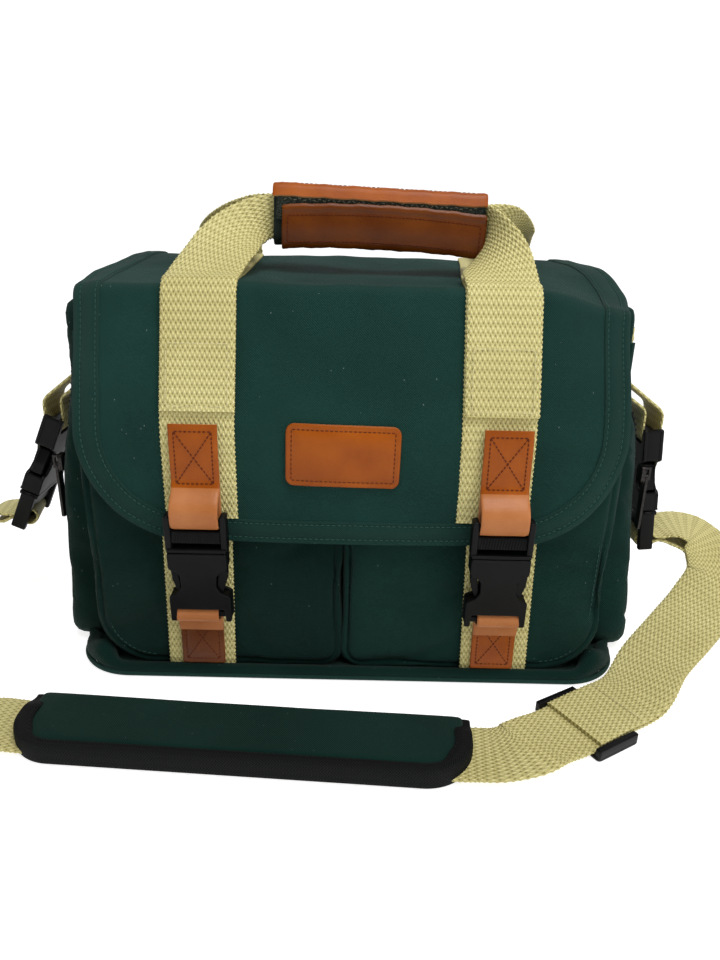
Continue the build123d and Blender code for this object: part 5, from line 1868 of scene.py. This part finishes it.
def make_shoulder_strap():
    """The strap: doubled from each side buckle, and a single run through the slider and the pad."""
    slider_across = np.array([-SLIDER_TO_PAD[1], SLIDER_TO_PAD[0], 0])
    pad_across = np.array([math.sin(PAD_TURN), -math.cos(PAD_TURN), 0])
    bar_right = end_bar_place("side", "right")
    bar_left = end_bar_place("side", "left")
    wide, slot = WEB_WIDTH, 31.5

    right = [
        (bar_right + (10, 0, 0), (0, 1, 0), slot), ((210, -4, 62), (0, 1, 0.05), wide),
        ((224, -8, 60), (0.3, 0.93, 0.2), wide), ((232, -19, 54), (0.75, 0.6, 0.25), wide),
        ((232, -34, 45), (0.97, 0.1, 0.1), wide), ((217, -50, 33), (0.85, -0.5, -0.05), wide),
        ((197, -68, 24), (0.65, -0.75, -0.1), wide), ((177, -85, 15), (0.55, -0.83, -0.05), wide),
        (along_slider(-36, STRAP_Z + 3.4), slider_across, wide),
        (along_slider(-14, STRAP_Z + 2.2), slider_across, wide),
        (along_slider(9, STRAP_Z + 1.3), slider_across, wide),
    ]
    strap = webbing("shoulder_strap_right", doubled(right, bar_right))
    finish_piece(strap, "root", "cream_webbing", "shoulder_strap_double_right")

    left = [
        (bar_left + (-10, 0, 0), (0, 1, 0), slot), ((-232, -8, 64), (0, 1, -0.1), wide),
        ((-244, -20, 55), (0, 0.9, -0.4), wide), ((-251, -36, 40), (0, 0.4, -0.9), wide),
        ((-253.6, -50, 32), (0, 0, -1), wide), ((-254, -60, 30), (0, 0, -1), wide),
    ]
    strap = webbing("shoulder_strap_left", doubled(left, bar_left))
    finish_piece(strap, "root", "cream_webbing", "shoulder_strap_double_left")

    half = PAD_LENGTH / 2
    single = [
        (along_slider(7, STRAP_Z), slider_across, wide), (along_slider(18, STRAP_Z), slider_across, wide),
        (along_slider(34, STRAP_Z + 1.5), slider_across, wide),
        ((88, -150.6, STRAP_Z + 2.5), (0.3, -1, 0), wide),
        (along_pad(half + 14, STRAP_Z + 1.2), pad_across, wide), (along_pad(half), pad_across, wide),
        (along_pad(0), pad_across, wide), (along_pad(-half), pad_across, wide),
        (along_pad(-half - 14, STRAP_Z + 1), pad_across, wide), ((-204, -134, 7), (0.05, -1, 0.12), wide),
        ((-228, -126, 14), (0.2, -0.85, -0.5), wide), ((-245, -108, 22), (0.1, -0.3, -0.95), wide),
        ((-254, -84, 26), (0, 0, -1), wide), ((-254, -60, 29.5), (0, 0, -1), wide),
    ]
    flipped = [(centre, -np.array(way, float), width) for centre, way, width in single]
    strap = webbing("shoulder_strap_middle", flipped)
    finish_piece(strap, "root", "cream_webbing", "shoulder_strap_single")
    row = np.linspace(-17, 17, 30)[:, None] * slider_across + along_slider(-22, STRAP_Z + 4.8)
    stitches("shoulder_strap_stitches", [row], "cream_thread", "root", "cream_webbing", 2.8, 2.0, 0.3)


def make_slider():
    """The three-bar slider that sets the strap's length."""
    x_axis = np.array([*SLIDER_TO_PAD, 0.0])
    up = np.array([0.0, 0.0, 1.0])
    axes = np.stack([x_axis, up, np.cross(up, x_axis)], -1)

    def oblong(x_low, x_high, z_low, z_high, radius):
        corners = ((x_low, z_low), (x_high, z_low), (x_high, z_high), (x_low, z_high))
        return rounded_loop([(x, z, radius) for x, z in corners])

    outline = oblong(-14.5, 14.5, -23, 23, 2.2)
    slots = [oblong(low, high, -19.3, 19.3, 1) for low, high in ((-10.2, -3.0), (3.0, 10.2))]
    plates = [moulded([outline, *slots], 0.3, 2.3, 0.6)]
    for end in (-21.2, 21.2):
        plates.append(moulded([oblong(-14, 14, end - 1.7, end + 1.7, 0.6)], 0.3, 6.8, 0.8))
    made = assemble("slider_frame", plates, np.array([*SLIDER_AT, 0.0]), axes, 1.0)
    finish_piece(made, "strap_slider", "black_plastic", "strap_slider")


def pad_place(x, y, z):
    """Points given along, across and above the pad's middle."""
    x, y, z = np.broadcast_arrays(x, y, z)
    cosine, sine = math.cos(PAD_TURN), math.sin(PAD_TURN)
    return np.stack([PAD_MIDDLE[0] + x * cosine - y * sine, PAD_MIDDLE[1] + x * sine + y * cosine, z], -1)


def make_pad():
    """The shoulder pad's padded cloth, a little swollen and rounded at its two front corners."""
    low = np.array([-PAD_LENGTH / 2 + 3, -PAD_WIDTH / 2 + 3, PAD_LOW + 0.4])
    high = np.array([PAD_LENGTH / 2 - 3, PAD_WIDTH / 2 - 0.6, PAD_LOW + PAD_THICK - 1.2])
    pad = soft_block("strap_pad", low, high, 3.4, "pad_canvas")
    round_corners(pad, low, high, 23.0)
    inflate(pad, [], 3.0, 2.0, frames=12, stiffness=25.0)
    modify(pad, "SUBSURF", levels=1, render_levels=1)
    points = mesh_points(pad)
    points[:, 2] = np.clip(points[:, 2], PAD_LOW, PAD_LOW + PAD_THICK)
    layer = pad.data.uv_layers.new(name="cloth")
    corners = np.zeros(len(pad.data.loops), int)
    pad.data.loops.foreach_get("vertex_index", corners)
    layer.data.foreach_set("uv", (points[corners][:, :2] * MM).astype(np.float32).ravel())
    move_points(pad, pad_place(points[:, 0], points[:, 1], points[:, 2]))
    finish_piece(pad, "pad", "green_canvas", "shoulder_pad")


def make_pad_binding():
    """The tape folded over the pad's left, front and right edges, and its stitching."""
    half_l, half_w = PAD_LENGTH / 2, PAD_WIDTH / 2
    rear = half_w - 2.5
    step = 2.0
    corners = [(-half_l, rear), (-half_l, -half_w), (half_l, -half_w), (half_l, rear)]
    line = rounded_path(corners, [25.0, 25.0], step)
    travel = np.arange(len(line)) * step
    inward = inward_from(line)
    lower = 1 - 0.36 * smooth_step(half_w - 18, half_w - 4, line[:, 1])
    reach = 6.0 + 3.0 * smooth_step(half_l - 14, half_l - 4, np.abs(line[:, 0]))
    section = [
        (1.0, 0.2, 0), (0.2, 0.9, 0), (0.0, 2.2, 0), (0.0, 8.6, 0), (0.25, 10.3, 0), (0.8, 11.2, 0),
        (0, 11.6, 0.35), (0, 11.5, 0.8), (0, 10.9, 1.0), (0, 9.6, 1.0), (1.6, 8.2, 0), (1.6, 2.2, 0),
    ]
    rings = np.zeros((len(line), len(section), 3))
    uv = np.zeros((len(line), len(section), 2))
    for column, (inset, z, share) in enumerate(section):
        spot = line + inward * (inset + reach * share)[:, None]
        rings[:, column] = pad_place(spot[:, 0], spot[:, 1], PAD_LOW + z * lower)
        uv[:, column] = fabric(inset + reach * share + z, travel)
    band = swept_loop("strap_pad_binding", rings[:, ::-1], "tape", uv[:, ::-1])
    finish_piece(band, "pad", "black_binding", "shoulder_pad_binding")
    spot = line + inward * (reach - 1.3)[:, None]
    row = pad_place(spot[:, 0], spot[:, 1], PAD_LOW + (PAD_THICK + 0.75) * lower)
    stitches("strap_pad_stitches", [row], "black_thread", "pad", "black_binding", 2.8, 2.0, 0.26)


def round_corners(made, low, high, radius):
    """Round the two front corners of the pad in plan."""
    points = mesh_points(made)
    shortfall = np.clip(low[1] + radius - points[:, 1], 0, radius)
    allowed = high[0] - radius + np.sqrt(radius ** 2 - shortfall ** 2)
    points[:, 0] *= np.minimum(1.0, allowed / high[0])
    move_points(made, points)


# ------------------------------------------------------------------ carried-over CAD nodes
def set_finish(node, material):
    """Give a CAD node that stays in view its material."""
    mesh = frame["nodes"][node].data
    mesh.materials.clear()
    mesh.materials.append(MATERIALS[material])


make_camera()
make_materials()
make_studio()
make_flap()
make_flap_webbing()
make_patch()
for SIDE in SIDES:
    make_upper_tab(SIDE)
    make_lower_tab(SIDE)
make_body()
make_base_roll()
for SIDE, SIGN in SIDES.items():
    make_front_pocket(SIDE, SIGN)
for SIDE, SIGN in SIDES.items():
    make_end_pocket(SIDE, SIGN)
make_inside()
make_buckles()
make_grip()
make_grip_panel()
make_handle()
make_shoulder_strap()
make_slider()
make_pad()
make_pad_binding()
for SIDE in SIDES:
    set_finish(f"zip_slider_{SIDE}", "metal")
    set_finish(f"zip_pull_{SIDE}", "metal")
